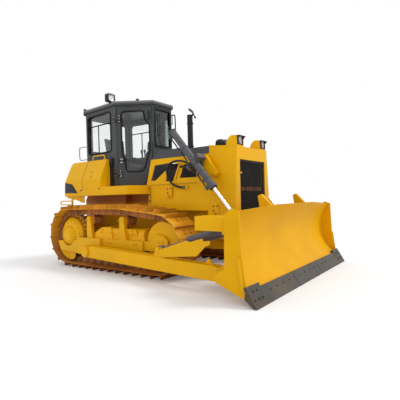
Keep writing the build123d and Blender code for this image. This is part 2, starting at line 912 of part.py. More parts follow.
cap_way = (-cos(radians(cap_open)), sin(radians(cap_open)))
cap_plane = Plane(
    origin=(sprocket_x + cap_hinge[0], 0, cap_hinge[1]),
    x_dir=(cap_way[0], 0, cap_way[1]),
    z_dir=(cap_way[1], 0, -cap_way[0]),
)
with BuildPart() as rain_cap:
    with BuildSketch(cap_plane):
        with Locations((cap_radius + 16, 0)):
            Circle(cap_radius)
        with Locations((20, 0)):
            Rectangle(40, 14)
    extrude(amount=6)
    with BuildSketch(side(7.5)):
        with Locations(cap_hinge):
            Circle(8)
    extrude(amount=15)
    with BuildSketch(side(7.5)):
        with Locations((cap_hinge[0] + 22, cap_hinge[1] - 30)):
            Rectangle(14, 96, rotation=28)
        with Locations((cap_hinge[0] + 44, cap_hinge[1] - 72)):
            Circle(18)
    extrude(amount=15)
write(rain_cap, "rain_cap")

with BuildPart() as pre_cleaner:
    with BuildSketch(level(hood_top_z)):
        with Locations((cleaner_ahead, 0)):
            Circle(cleaner_radius)
    extrude(amount=cleaner_top - hood_top_z)
    fillet(pre_cleaner.edges().filter_by(GeomType.CIRCLE).sort_by(Axis.Z)[-1], 56)
write(pre_cleaner, "pre_cleaner")

# Cab: a hexagonal shell on the deck
cab_outline = [
    (cab_rear, cab_rear_half),
    (cab_hip, cab_hip_half),
    (cab_nose, cab_nose_half),
    (cab_nose, -cab_nose_half),
    (cab_hip, -cab_hip_half),
    (cab_rear, -cab_rear_half),
]


def wall_plane(start, end):
    """Upright plane on a cab wall: drawn along it and up, extruded outward."""
    along = Vector(end[0] - start[0], end[1] - start[1], 0).normalized()
    outward = along.cross(Vector(0, 0, 1))
    return Plane(
        origin=(sprocket_x + start[0], start[1], 0), x_dir=along, z_dir=outward
    )


rear_corner = (cab_rear, -cab_rear_half)
hip_corner = (cab_hip, -cab_hip_half)
nose_corner = (cab_nose, -cab_nose_half)
side_wall = wall_plane(rear_corner, hip_corner)
door_wall = wall_plane(hip_corner, nose_corner)
front_wall = wall_plane(nose_corner, (cab_nose, cab_nose_half))
rear_wall = wall_plane((cab_rear, cab_rear_half), rear_corner)
door_run = hypot(cab_nose - cab_hip, cab_hip_half - cab_nose_half)
door_angle = degrees(atan2(cab_hip_half - cab_nose_half, cab_nose - cab_hip))

door_foot_z = deck_top_z + door_sill
door_head_z = cab_eave_z - 30
door_end = door_run - door_post
door_opening = [
    (door_post, door_foot_z),
    (door_run - 190, door_foot_z),
    (door_end - 14, 1912),
    (door_end, 2152),
    (door_end, door_head_z),
    (door_post, door_head_z),
]
door_outline = [
    (door_post + door_gap, door_foot_z + door_gap),
    (door_run - 190 - door_gap, door_foot_z + door_gap),
    (door_end - 14 - door_gap, 1912 + door_gap / 2),
    (door_end - door_gap, 2152),
    (door_end - door_gap, door_head_z - door_gap),
    (door_post + door_gap, door_head_z - door_gap),
]
door_window = [
    (110, 2060),
    (163, 2010),
    (170, 1800),
    (222, 1752),
    (470, 1752),
    (520, 1800),
    (632, 2150),
    (632, 2600),
    (590, 2680),
    (550, 2700),
    (530, 2850),
    (500, 2872),
    (150, 2872),
    (110, 2830),
]
side_window = [
    (70, 2190),
    (110, 2150),
    (800, 2150),
    (840, 2190),
    (840, 2860),
    (800, 2900),
    (110, 2900),
    (70, 2860),
]
front_window = [
    (50, 2230),
    (2 * cab_nose_half - 50, 2230),
    (2 * cab_nose_half - 50, 2910),
    (50, 2910),
]
rear_window = [
    (120, 2230),
    (2 * cab_rear_half - 120, 2230),
    (2 * cab_rear_half - 120, 2880),
    (120, 2880),
]
hinge_heights = (1725.0, 2740.0)
hinge_place = door_post - 6

with BuildPart() as cab_shell:
    with BuildSketch(level(deck_top_z)):
        Polygon(*cab_outline, align=None)
    extrude(amount=cab_eave_z - deck_top_z)
    with BuildSketch(level(deck_top_z + cab_floor)):
        Polygon(*cab_outline, align=None)
        offset(amount=-cab_wall, kind=Kind.INTERSECTION, mode=Mode.REPLACE)
    extrude(amount=cab_eave_z, mode=Mode.SUBTRACT)
    with BuildSketch(door_wall):
        Polygon(*door_opening, align=None)
    extrude(amount=-cab_wall - plate, mode=Mode.SUBTRACT)
    with BuildSketch(door_wall):
        Polygon(*door_opening, align=None)
    extrude(amount=plate, mode=Mode.SUBTRACT)
    with BuildSketch(side_wall):
        Polygon(*side_window, align=None)
    extrude(amount=-cab_wall - plate, mode=Mode.SUBTRACT)
    split(bisect_by=Plane.XZ, keep=Keep.TOP)
    for height in hinge_heights:
        for end in (-1, 1):
            lug_z = height + end * (hinge_length / 2 + 7)
            with BuildSketch(level(lug_z - 6)):
                with Locations(Pos(hip_corner[0], hip_corner[1]) * Rot(0, 0, door_angle)):
                    with Locations((hinge_place - 8, -hinge_out / 2)):
                        Rectangle(22, hinge_out + 12)
            extrude(amount=12)
        with BuildSketch(level(height - hinge_length / 2 - 10)):
            with Locations(Pos(hip_corner[0], hip_corner[1]) * Rot(0, 0, door_angle)):
                with Locations((hinge_place, -hinge_out)):
                    Circle(hinge_pin)
        extrude(amount=hinge_length + 20)
    mirror(about=Plane.XZ)
    with BuildSketch(front_wall):
        Polygon(*front_window, align=None)
    extrude(amount=-cab_wall - plate, mode=Mode.SUBTRACT)
    with BuildSketch(rear_wall):
        Polygon(*rear_window, align=None)
    extrude(amount=-cab_wall - plate, mode=Mode.SUBTRACT)
write(cab_shell, "cab_shell")

with BuildPart() as cab_roof:
    with BuildSketch(level(cab_eave_z)):
        Polygon(*cab_outline, align=None)
        offset(amount=roof_overhang, kind=Kind.INTERSECTION, mode=Mode.REPLACE)
    extrude(amount=roof_top_z - cab_eave_z)
    chamfer(cab_roof.faces().sort_by(Axis.Z)[-1].edges(), 24)
write(cab_roof, "cab_roof")

glass_in = (cab_wall + glass) / 2
with BuildPart() as cab_glass:
    with BuildSketch(side_wall.offset(-glass_in)):
        Polygon(*side_window, align=None)
    extrude(amount=glass)
    mirror(about=Plane.XZ)
    with BuildSketch(front_wall.offset(-glass_in)):
        Polygon(*front_window, align=None)
    extrude(amount=glass)
    with BuildSketch(rear_wall.offset(-glass_in)):
        Polygon(*rear_window, align=None)
    extrude(amount=glass)
write(cab_glass, "cab_glass")

# Doors on the slanted walls, hinged at the hip corners
with BuildPart() as door_right:
    with BuildSketch(door_wall):
        Polygon(*door_outline, align=None)
        Polygon(*door_window, align=None, mode=Mode.SUBTRACT)
    extrude(amount=-door_leaf)
    for height in hinge_heights:
        with BuildSketch(level(height - hinge_length / 2)):
            with Locations(Pos(hip_corner[0], hip_corner[1]) * Rot(0, 0, door_angle)):
                with Locations((hinge_place, -hinge_out)):
                    Circle(hinge_knuckle)
                with Locations((hinge_place + 30, -hinge_out + 4)):
                    Rectangle(60, 10)
                with Locations((hinge_place + 54, -hinge_out / 2)):
                    Rectangle(36, hinge_out)
                with Locations((hinge_place, -hinge_out)):
                    Circle(hinge_pin + seat_gap, mode=Mode.SUBTRACT)
        extrude(amount=hinge_length)
    with BuildSketch(door_wall):
        with Locations((594, 2790)):
            RectangleRounded(34, 150, 14)
        with Locations((100, 1955)):
            RectangleRounded(46, 70, 10)
    extrude(amount=26)
write(door_right, "door_right")
with BuildPart() as door_left:
    add(door_right.part.mirror(Plane.XZ))
write(door_left, "door_left")

with BuildPart() as door_glass_right:
    with BuildSketch(door_wall.offset(-(door_leaf + glass) / 2)):
        Polygon(*door_window, align=None)
    extrude(amount=glass)
write(door_glass_right, "door_glass_right")
with BuildPart() as door_glass_left:
    add(door_glass_right.part.mirror(Plane.XZ))
write(door_glass_left, "door_glass_left")

# Seat and controls
cab_floor_z = deck_top_z + cab_floor
seat_ahead = 330.0
with BuildPart() as seat_base:
    with BuildSketch(level(cab_floor_z)):
        with Locations((seat_ahead, 0)):
            Rectangle(480, 440)
    extrude(amount=330)
    chamfer(seat_base.edges().filter_by(Axis.Z), 40)
write(seat_base, "seat_base")

with BuildPart() as operator_seat:
    with BuildSketch(side(250)):
        Polygon(
            (seat_ahead - 230, cab_floor_z + 330),
            (seat_ahead + 270, cab_floor_z + 330),
            (seat_ahead + 290, cab_floor_z + 420),
            (seat_ahead + 250, cab_floor_z + 460),
            (seat_ahead - 150, cab_floor_z + 440),
            (seat_ahead - 240, cab_floor_z + 1000),
            (seat_ahead - 330, cab_floor_z + 1000),
            (seat_ahead - 340, cab_floor_z + 960),
            align=None,
        )
    extrude(amount=500)
    fillet(operator_seat.edges().filter_by(Axis.Y), 18)
write(operator_seat, "operator_seat")

with BuildPart() as control_console:
    with BuildSketch(level(cab_floor_z)):
        with Locations((seat_ahead + 60, -330)):
            Rectangle(560, 120)
    extrude(amount=560)
    for lever_ahead in (seat_ahead + 200, seat_ahead + 290):
        with BuildSketch(level(cab_floor_z + 560)):
            with Locations((lever_ahead, -330)):
                Circle(10)
        extrude(amount=170)
        with BuildSketch(level(cab_floor_z + 700)):
            with Locations((lever_ahead, -330)):
                Circle(24)
        extrude(amount=60)
    mirror(about=Plane.XZ)
    with BuildSketch(side(180)):
        Polygon(
            (cab_nose - cab_wall - 230, cab_floor_z),
            (cab_nose - cab_wall - 20, cab_floor_z),
            (cab_nose - cab_wall - 20, 2180),
            (cab_nose - cab_wall - 120, 2220),
            (cab_nose - cab_wall - 260, 2100),
            align=None,
        )
    extrude(amount=360)
write(control_console, "control_console")

# Deck, fender boxes and fuel tank
deck_slope = (deck_top_z - deck_rear_z) / (box_front - tank_rear)


def deck_z(ahead):
    """Top of the deck, which falls to the rear under the boxes."""
    return deck_rear_z + deck_slope * (ahead - tank_rear)


with BuildPart() as deck:
    with BuildSketch(side(deck_half)):
        Polygon(
            (tank_rear, deck_foot_z),
            (side_plate_rear, deck_foot_z),
            (side_plate_rear, deck_top_z),
            (box_front, deck_top_z),
            (tank_rear, deck_rear_z),
            align=None,
        )
    extrude(amount=2 * deck_half)
    with BuildSketch(level(deck_foot_z - plate)):
        Polygon(
            (deck_turn, deck_half),
            (side_plate_rear, deck_nose_half),
            (side_plate_rear + plate, deck_nose_half),
            (side_plate_rear + plate, deck_half + plate),
            (deck_turn, deck_half + plate),
            align=None,
        )
        Polygon(
            (deck_turn, -deck_half),
            (side_plate_rear, -deck_nose_half),
            (side_plate_rear + plate, -deck_nose_half),
            (side_plate_rear + plate, -deck_half - plate),
            (deck_turn, -deck_half - plate),
            align=None,
        )
    extrude(amount=10 * plate, mode=Mode.SUBTRACT)
write(deck, "deck")

box_section = [
    (-deck_half, deck_rear_z - plate),
    (-deck_half, box_crease_z),
    (-box_top_half, box_top_z),
    (-box_inner, box_top_z),
    (-box_inner, deck_rear_z - plate),
]
with BuildPart() as side_boxes:
    with BuildSketch(across(box_rear)):
        Polygon(*box_section, align=None)
    extrude(amount=box_front - box_rear)
    with BuildSketch(side(0)):
        Polygon(
            (box_rear, deck_z(box_rear)),
            (box_front, deck_top_z),
            (box_front, deck_foot_z),
            (box_rear, deck_foot_z),
            align=None,
        )
    extrude(amount=deck_half, mode=Mode.SUBTRACT)
    mirror(about=Plane.XZ)
write(side_boxes, "side_boxes")

tank_profile = [
    (tank_rear, deck_rear_z),
    (tank_rear + 35, 1622),
    (tank_rear + 54, 1955),
    (tank_rear + 110, box_top_z),
    (box_rear, box_top_z),
    (box_rear, deck_z(box_rear)),
]
with BuildPart() as fuel_tank:
    with BuildSketch(side(deck_half)):
        Polygon(*tank_profile, align=None)
    extrude(amount=2 * deck_half)
    with BuildSketch(across(tank_rear)):
        Polygon(
            (deck_half, box_crease_z),
            (box_top_half, box_top_z),
            (deck_half, box_top_z),
            align=None,
        )
        mirror(about=Plane.YZ)
    extrude(amount=box_rear - tank_rear, mode=Mode.SUBTRACT)
    with BuildSketch(level(deck_foot_z)):
        with Locations(((cab_rear - 5 + box_rear + plate) / 2, 0)):
            Rectangle(box_rear + plate - cab_rear + 5, 2 * box_inner)
    extrude(amount=box_top_z, mode=Mode.SUBTRACT)
write(fuel_tank, "fuel_tank")

# Lamps
with BuildPart() as head_lamps:
    with BuildSketch(side(-265)):
        Polygon(
            (guard_front - 200, guard_front_z - 40),
            (guard_front - 10, guard_front_z - 40),
            (guard_front - 10, guard_front_z + 160),
            (guard_front - 110, guard_front_z + 165),
            (guard_front - 170, guard_front_z + 120),
            (guard_front - 200, guard_front_z + 50),
            align=None,
        )
    extrude(amount=200)
    with BuildSketch(side(0)):
        Polygon(
            (guard_rear, guard_rear_z),
            (guard_front, guard_front_z),
            (guard_front, guard_front_z - 100),
            (guard_rear, guard_front_z - 100),
            align=None,
        )
    extrude(amount=500, mode=Mode.SUBTRACT)
    with BuildSketch(across(guard_front - 10)):
        with Locations((-365, guard_front_z + 95)):
            Rectangle(150, 120)
    extrude(amount=-60, mode=Mode.SUBTRACT)
    mirror(about=Plane.XZ)
write(head_lamps, "head_lamps")

roof_lamp = (760.0, 650.0, roof_top_z + 42)
with BuildPart() as work_lamps:
    with BuildSketch(across(roof_lamp[0] - 60)):
        with Locations((-roof_lamp[1], roof_lamp[2] + 40)):
            RectangleRounded(170, 150, 24)
    extrude(amount=90)
    with BuildSketch(across(roof_lamp[0] + 10)):
        with Locations((-roof_lamp[1], roof_lamp[2] + 40)):
            RectangleRounded(146, 126, 18)
    extrude(amount=20, mode=Mode.SUBTRACT)
    with BuildSketch(level(roof_top_z)):
        with Locations((roof_lamp[0] - 30, -roof_lamp[1] + 20)):
            Circle(16)
    extrude(amount=roof_lamp[2] - 20 - roof_top_z)
    with BuildSketch(across(-150)):
        with Locations((-540, cab_eave_z + 30)):
            RectangleRounded(120, 120, 20)
    extrude(amount=6)
    mirror(about=Plane.XZ)
write(work_lamps, "work_lamps")

with BuildPart() as lamp_lenses:
    with BuildSketch(across(guard_front - 70)):
        with Locations((-365, guard_front_z + 95)):
            Rectangle(150, 120)
    extrude(amount=40)
    with BuildSketch(across(roof_lamp[0] + 10)):
        with Locations((-roof_lamp[1], roof_lamp[2] + 40)):
            RectangleRounded(146, 126, 18)
    extrude(amount=12)
    mirror(about=Plane.XZ)
write(lamp_lenses, "lamp_lenses")

# Grab handles on the boxes and the cab's rear corners
handle_radius = 12.0
with BuildPart() as grab_handles:
    with BuildLine():
        FilletPolyline(
            (sprocket_x + 250, -700, box_top_z),
            (sprocket_x + 250, -700, box_top_z + 90),
            (sprocket_x + 600, -700, box_top_z + 90),
            (sprocket_x + 600, -700, box_top_z),
            radius=40,
        )
    with BuildSketch(Plane(origin=(sprocket_x + 250, -700, box_top_z), z_dir=(0, 0, 1))):
        Circle(handle_radius)
    sweep()
    mirror(about=Plane.XZ)
write(grab_handles, "grab_handles")

# Lift hoses from the side plates to the yoke supports
hose_points = [Vector(sprocket_x + ahead, y, z) for ahead, y, z in hose_route]


def bend_radii(points):
    """Largest even radius at each inner point of a route."""
    radii = []
    for before, here, after in zip(points, points[1:], points[2:]):
        run_in, run_out = here - before, after - here
        turn = radians(run_in.get_angle(run_out))
        radii.append(0.45 * min(run_in.length, run_out.length) / (sin(turn / 2) / cos(turn / 2)))
    return radii


hose_radii = bend_radii(hose_points)
with BuildPart() as lift_hoses:
    with BuildLine():
        FilletPolyline(*hose_points, radius=hose_radii)
    hose_way = hose_points[1] - hose_points[0]
    with BuildSketch(Plane(origin=hose_points[0], z_dir=hose_way)):
        Circle(hose_radius)
    sweep()
    mirror(about=Plane.XZ)
write(lift_hoses, "lift_hoses")

# Blade: curved moldboard, end plates, back beams, brackets and ears
edge_foot = (tip_reach, edge_clear)
edge_head = (tip_reach - 121, 193)
mold_foot = (tip_reach - 139, 160)
mold_deep = (tip_reach - 403, 600)
mold_top = (tip_reach - 218, blade_crown_z)
edge_section = [
    edge_foot,
    edge_head,
    (edge_head[0] - 26, edge_head[1] - 14),
    (tip_reach - 158, 96),
    (tip_reach - 48, edge_clear),
]
end_bit_width = 300.0
end_bit_rise = 45.0
end_bit_proud = 7.0
edge_way = (Vector(*edge_head) - Vector(*edge_foot)).normalized()
bit_head = Vector(*edge_head) + edge_way * end_bit_rise
bit_section = [
    edge_foot,
    (bit_head.X + end_bit_proud, bit_head.Y + end_bit_proud / 2),
    (bit_head.X - 26, bit_head.Y - 14),
    *edge_section[2:],
]
brace_seat = 28.0  # boss on the blade that the head of a brace stands on
brace_y = arm_inner_y + arm_width / 2
brace_foot = Vector(sprocket_x + brace_foot_ahead, -brace_y, brace_foot_z)
brace_head = Vector(sprocket_x + brace_head_ahead, -brace_head_y, brace_head_z)
brace_way = brace_head - brace_foot
brace_length = brace_way.length
brace_plane = Plane(origin=brace_foot, z_dir=brace_way)

with BuildPart() as blade:
    with BuildSketch(side(moldboard_half)):
        with BuildLine():
            ThreePointArc(mold_foot, mold_deep, mold_top)
            Line(mold_top, (mold_top[0] - moldboard_plate, mold_top[1]))
            ThreePointArc(
                (mold_top[0] - moldboard_plate, mold_top[1]),
                (mold_deep[0] - moldboard_plate, mold_deep[1]),
                (mold_foot[0] - moldboard_plate, mold_foot[1]),
            )
            Line((mold_foot[0] - moldboard_plate, mold_foot[1]), mold_foot)
        make_face()
        Polygon(
            (tip_reach - 150, 175),
            (tip_reach - 340, 260),
            (tip_reach - 410, 430),
            (tip_reach - 470, 430),
            (tip_reach - 470, 200),
            (tip_reach - 190, 130),
            align=None,
        )
        Polygon(
            (tip_reach - 400, 790),
            (tip_reach - 350, 1000),
            (tip_reach - 420, 1000),
            (tip_reach - 478, 960),
            (tip_reach - 478, 800),
            align=None,
        )
    extrude(amount=2 * moldboard_half)
    with BuildSketch(across(0)):
        Polygon(
            (crown_half, blade_crown_z),
            (moldboard_half, blade_top_z),
            (moldboard_half + plate, blade_crown_z + plate),
            (crown_half, blade_crown_z + plate),
            align=None,
        )
        mirror(about=Plane.YZ)
    extrude(amount=2 * tip_reach, mode=Mode.SUBTRACT)
    with BuildSketch(side(-moldboard_half)):
        Polygon(
            (tip_reach - 429, 1023),
            (tip_reach - 335, 1105),
            (tip_reach - 233, blade_top_z),
            (tip_reach - 209, 547),
            (tip_reach - 164, 177),
            (tip_reach - 98, 45),
            (tip_reach - 580, 236),
            (tip_reach - 580, 330),
            (tip_reach - 441, 400),
            align=None,
        )
    extrude(amount=end_plate)
    with BuildSketch(side(-moldboard_half - end_plate)):
        Polygon(
            (tip_reach - 240, 547),
            (tip_reach - 196, 547),
            (tip_reach - 150, 190),
            (tip_reach - 194, 180),
            align=None,
        )
    extrude(amount=14)
    for lug_y in (lift_y - eye_width / 2 - eye_room - plate, lift_y + eye_width / 2 + eye_room):
        with BuildSketch(side(-lug_y)):
            Polygon(
                (lift_pin_ahead - 55, lift_pin_z + 40),
                (lift_pin_ahead - 20, lift_pin_z + 62),
                (tip_reach - 440, 960),
                (tip_reach - 400, 700),
                (tip_reach - 420, 440),
                (lift_pin_ahead - 30, lift_pin_z - 60),
                (lift_pin_ahead - 58, lift_pin_z - 30),
                align=None,
            )
        extrude(amount=plate)
    with BuildSketch(side(-lift_y + 100)):
        Polygon(
            (tip_reach - 520, 1240),
            (tip_reach - 470, 1262),
            (tip_reach - 300, 1090),
            (tip_reach - 360, 960),
            (tip_reach - 470, 940),
            align=None,
        )
    extrude(amount=-70)
    for clevis_y in (arm_inner_y - clevis_plate - seat_gap, arm_inner_y + arm_width + seat_gap):
        with BuildSketch(side(-clevis_y)):
            Polygon(
                (arm_pin_ahead - 80, arm_pin_z + 60),
                (arm_pin_ahead - 40, arm_pin_z + 110),
                (tip_reach - 430, 440),
                (tip_reach - 430, 215),
                (arm_pin_ahead - 10, arm_pin_z - 95),
                (arm_pin_ahead - 80, arm_pin_z - 60),
                align=None,
            )
            with Locations((arm_pin_ahead, arm_pin_z)):
                Circle(arm_pin_radius + seat_gap, mode=Mode.SUBTRACT)
        extrude(amount=clevis_plate)
    with BuildSketch(brace_plane.offset(brace_length - brace_seat)):
        Circle(brace_rod_radius + 28)
    extrude(amount=brace_seat + 30)
    mirror(about=Plane.XZ)
    with BuildSketch(side(blade_half)):
        Polygon(*edge_section, align=None)
    extrude(amount=2 * blade_half, mode=Mode.SUBTRACT)
    for bit_y in (blade_half, end_bit_width - blade_half):
        with BuildSketch(side(bit_y)):
            Polygon(*bit_section, align=None)
        extrude(amount=end_bit_width, mode=Mode.SUBTRACT)
write(blade, "blade")

# Cutting edge on the foot of the moldboard
with BuildPart() as cutting_edge:
    with BuildSketch(side(blade_half)):
        Polygon(*edge_section, align=None)
    extrude(amount=2 * blade_half)
    for bit_y in (blade_half, end_bit_width - blade_half):
        with BuildSketch(side(bit_y)):
            Polygon(*bit_section, align=None)
        extrude(amount=end_bit_width)
write(cutting_edge, "cutting_edge")

# Push arms with a bored cap at the trunnion and a pinned eye at the blade
arm_slope = atan2(arm_pin_z - trunnion_z, arm_pin_ahead - trunnion_ahead)


def arm_point(along, out):
    """Point along a push arm from its trunnion, and out of its middle line."""
    return (
        trunnion_ahead + along * cos(arm_slope) - out * sin(arm_slope),
        trunnion_z + along * sin(arm_slope) + out * cos(arm_slope),
    )


arm_length = hypot(arm_pin_ahead - trunnion_ahead, arm_pin_z - trunnion_z)
with BuildPart() as push_arms:
    with BuildSketch(side(-arm_inner_y)):
        Polygon(
            arm_point(0, arm_height / 2 - 20),
            arm_point(160, arm_height / 2),
            arm_point(arm_length - 140, arm_height / 2),
            arm_point(arm_length - 20, 70),
            arm_point(arm_length + 40, 50),
            arm_point(arm_length + 60, 0),
            arm_point(arm_length + 40, -50),
            arm_point(arm_length - 20, -70),
            arm_point(arm_length - 140, -arm_height / 2),
            arm_point(160, -arm_height / 2),
            arm_point(0, -arm_height / 2 + 20),
            align=None,
        )
        with Locations((trunnion_ahead, trunnion_z)):
            Circle(arm_cap_radius)
    extrude(amount=arm_width)
    with BuildSketch(side(-arm_inner_y)):
        with Locations((trunnion_ahead, trunnion_z)):
            Circle(trunnion_radius + seat_gap)
    extrude(amount=arm_width - 20 + seat_gap, mode=Mode.SUBTRACT)
    with BuildSketch(side(-arm_inner_y - arm_width)):
        with Locations((trunnion_ahead, trunnion_z)):
            Circle(arm_cap_radius - 12)
    extrude(amount=26)
    with BuildSketch(side(-arm_inner_y + clevis_plate + 10)):
        with Locations((arm_pin_ahead, arm_pin_z)):
            Circle(arm_pin_radius)
    extrude(amount=arm_width + 2 * clevis_plate + 20)
    for lug_y in (arm_inner_y + brace_lug_inset, arm_inner_y + arm_width - brace_lug_inset - plate):
        with BuildSketch(side(-lug_y)):
            Polygon(
                (brace_foot_ahead - 110, brace_foot_z - 110),
                (brace_foot_ahead + 120, brace_foot_z - 110),
                (brace_foot_ahead + 40, brace_foot_z + 40),
                (brace_foot_ahead - 40, brace_foot_z + 40),
                align=None,
            )
        extrude(amount=plate)
    with BuildSketch(side(-arm_inner_y - arm_width / 2 + 12)):
        Polygon((3330, 330), (3410, 440), (3500, 330), align=None)
    extrude(amount=24)
    mirror(about=Plane.XZ)
write(push_arms, "push_arms")

# Braces from the arms to the blade: tilt cylinder right, screw brace left
eye_half = arm_width / 2 - brace_lug_inset - plate - seat_gap

with BuildPart() as tilt_cylinder:
    with BuildSketch(side(-brace_y + eye_half)):
        with Locations((brace_foot_ahead, brace_foot_z)):
            Circle(54)
    extrude(amount=2 * eye_half)
    with BuildSketch(brace_plane):
        Circle(brace_rod_radius)
    extrude(amount=brace_length * 0.5)
    with BuildSketch(brace_plane.offset(brace_length * 0.33)):
        Circle(brace_barrel_radius - 30)
    with BuildSketch(brace_plane.offset(brace_length * 0.33 + 50)):
        Circle(brace_barrel_radius)
    loft()
    with BuildSketch(brace_plane.offset(brace_length * 0.33 + 50)):
        Circle(brace_barrel_radius)
    extrude(amount=brace_length * 0.57 - 50)
    with BuildSketch(brace_plane.offset(brace_length * 0.88)):
        Circle(brace_rod_radius)
    extrude(amount=brace_length * 0.12 - brace_seat)
    with BuildSketch(brace_plane.offset(brace_length * 0.78)):
        Circle(brace_barrel_radius + 10)
    extrude(amount=30)
write(tilt_cylinder, "tilt_cylinder")

with BuildPart() as screw_brace:
    with BuildSketch(side(-brace_y + eye_half)):
        with Locations((brace_foot_ahead, brace_foot_z)):
            Circle(54)
    extrude(amount=2 * eye_half)
    with BuildSketch(brace_plane):
        Circle(brace_rod_radius)
    extrude(amount=brace_length - brace_seat)
    with BuildSketch(brace_plane.offset(brace_length * 0.3)):
        Circle(brace_rod_radius + 16)
    extrude(amount=brace_length * 0.42)
    mirror(about=Plane.XZ, mode=Mode.REPLACE)
write(screw_brace, "screw_brace")

guard_sheet = 14.0
guard_outline = [
    (brace_foot_ahead + 20, brace_foot_z - 30),
    (brace_foot_ahead + 67, brace_foot_z + 15),
    (3095, 662),
    (3168, 647),
    (3373, 704),
    (3395, 668),
    (3500, 682),
    (3500, 628),
    (3415, 595),
    (3271, 463),
    (2722, 411),
    (brace_foot_ahead + 90, brace_foot_z - 90),
]
with BuildPart() as brace_guards:
    with BuildSketch(side(-arm_inner_y - arm_width + 2)):
        Polygon(*guard_outline, align=None)
    extrude(amount=guard_sheet)
    with BuildSketch(side(-arm_inner_y - arm_width + brace_lug_inset)):
        with Locations((brace_foot_ahead + 66, brace_foot_z - 40)):
            Circle(16)
    extrude(amount=brace_lug_inset - 2)
    with BuildSketch(side(-1250)):
        Polygon(
            (tip_reach - 979, 818),
            (tip_reach - 979, 1000),
            (tip_reach - 478.3, 1000),
            (tip_reach - 478.3, 818),
            align=None,
        )
    extrude(amount=250)
write(brace_guards, "brace_guards")

# Lift cylinders: barrel on the yoke, rod in the barrel, eye at the blade
lift_way = Vector(lift_pin_ahead - lift_pivot_ahead, 0, lift_pin_z - lift_pivot_z)
lift_length = lift_way.length
lift_pivot = Vector(sprocket_x + lift_pivot_ahead, -lift_y, lift_pivot_z)
lift_plane = Plane(origin=lift_pivot, x_dir=(0, -1, 0), z_dir=lift_way)
bore_radius = barrel_radius - barrel_wall

with BuildPart() as lift_barrel_right:
    with BuildSketch(lift_plane.offset(-barrel_back)):
        Circle(barrel_radius)
    extrude(amount=barrel_back + barrel_front)
    with BuildSketch(lift_plane.offset(barrel_front - gland_collar)):
        Circle(barrel_radius + 10)
    extrude(amount=gland_collar - 10)
    with BuildSketch(lift_plane.offset(-48)):
        Circle(barrel_radius + 10)
    extrude(amount=96)
    with BuildSketch(lift_plane.offset(-barrel_back + barrel_cap)):
        Circle(bore_radius)
    extrude(
        amount=barrel_back + barrel_front - barrel_cap - gland_length, mode=Mode.SUBTRACT
    )
    with BuildSketch(lift_plane.offset(-barrel_back + barrel_cap)):
        Circle(rod_radius + seat_gap)
    extrude(amount=2 * barrel_back, mode=Mode.SUBTRACT)
write(lift_barrel_right, "lift_barrel_right")

yoke_inner = lift_y - barrel_radius - 18
with BuildPart() as yoke_right:
    with BuildSketch(side(-yoke_support_y - 16)):
        with Locations((lift_pivot_ahead, lift_pivot_z)):
            Circle(84)
    extrude(amount=yoke_inner - yoke_support_y - 16)
    with BuildSketch(side(-yoke_support_y + 70)):
        with Locations((lift_pivot_ahead, lift_pivot_z)):
            Circle(yoke_shaft_radius)
    extrude(amount=yoke_inner - yoke_support_y + 60)
    with BuildSketch(lift_plane.offset(-44)):
        with Locations((yoke_support_y + 16 - lift_y + 30, 0)):
            Rectangle(60, 290)
        with Locations((-6, 105), (-6, -105)):
            Rectangle(120, 80)
    extrude(amount=88)
    with BuildSketch(lift_plane.offset(-46)):
        Circle(barrel_radius + 10 + seat_gap)
    extrude(amount=92, mode=Mode.SUBTRACT)
write(yoke_right, "yoke_right")

with BuildPart() as lift_rod_right:
    with BuildSketch(lift_plane.offset(lift_length - piston_stop)):
        Circle(rod_radius)
    extrude(amount=piston_stop)
    with BuildSketch(lift_plane.offset(lift_length - piston_stop)):
        Circle(bore_radius - seat_gap)
    extrude(amount=piston_length)
    with BuildSketch(side(-lift_y + eye_width / 2)):
        with Locations((lift_pin_ahead, lift_pin_z)):
            Circle(eye_radius)
    extrude(amount=eye_width)
write(lift_rod_right, "lift_rod_right")

for right, name in (
    (lift_barrel_right, "lift_barrel_left"),
    (yoke_right, "yoke_left"),
    (lift_rod_right, "lift_rod_left"),
):
    with BuildPart() as left:
        add(right.part.mirror(Plane.XZ))
    write(left, name)
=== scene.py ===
import math

import bmesh
import bpy
from mathutils import Matrix, Vector


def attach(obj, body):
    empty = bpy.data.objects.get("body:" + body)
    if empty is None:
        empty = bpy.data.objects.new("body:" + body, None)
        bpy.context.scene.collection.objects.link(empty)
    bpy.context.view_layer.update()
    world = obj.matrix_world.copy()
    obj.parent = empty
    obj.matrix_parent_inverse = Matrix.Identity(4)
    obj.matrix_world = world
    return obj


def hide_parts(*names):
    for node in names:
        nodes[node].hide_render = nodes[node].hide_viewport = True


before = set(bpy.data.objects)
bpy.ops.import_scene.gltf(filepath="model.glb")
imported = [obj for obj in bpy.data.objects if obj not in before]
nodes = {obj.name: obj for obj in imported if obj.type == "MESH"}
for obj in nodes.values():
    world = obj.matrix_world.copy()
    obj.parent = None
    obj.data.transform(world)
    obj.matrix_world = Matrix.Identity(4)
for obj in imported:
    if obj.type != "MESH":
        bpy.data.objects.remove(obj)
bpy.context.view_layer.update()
scene = bpy.context.scene

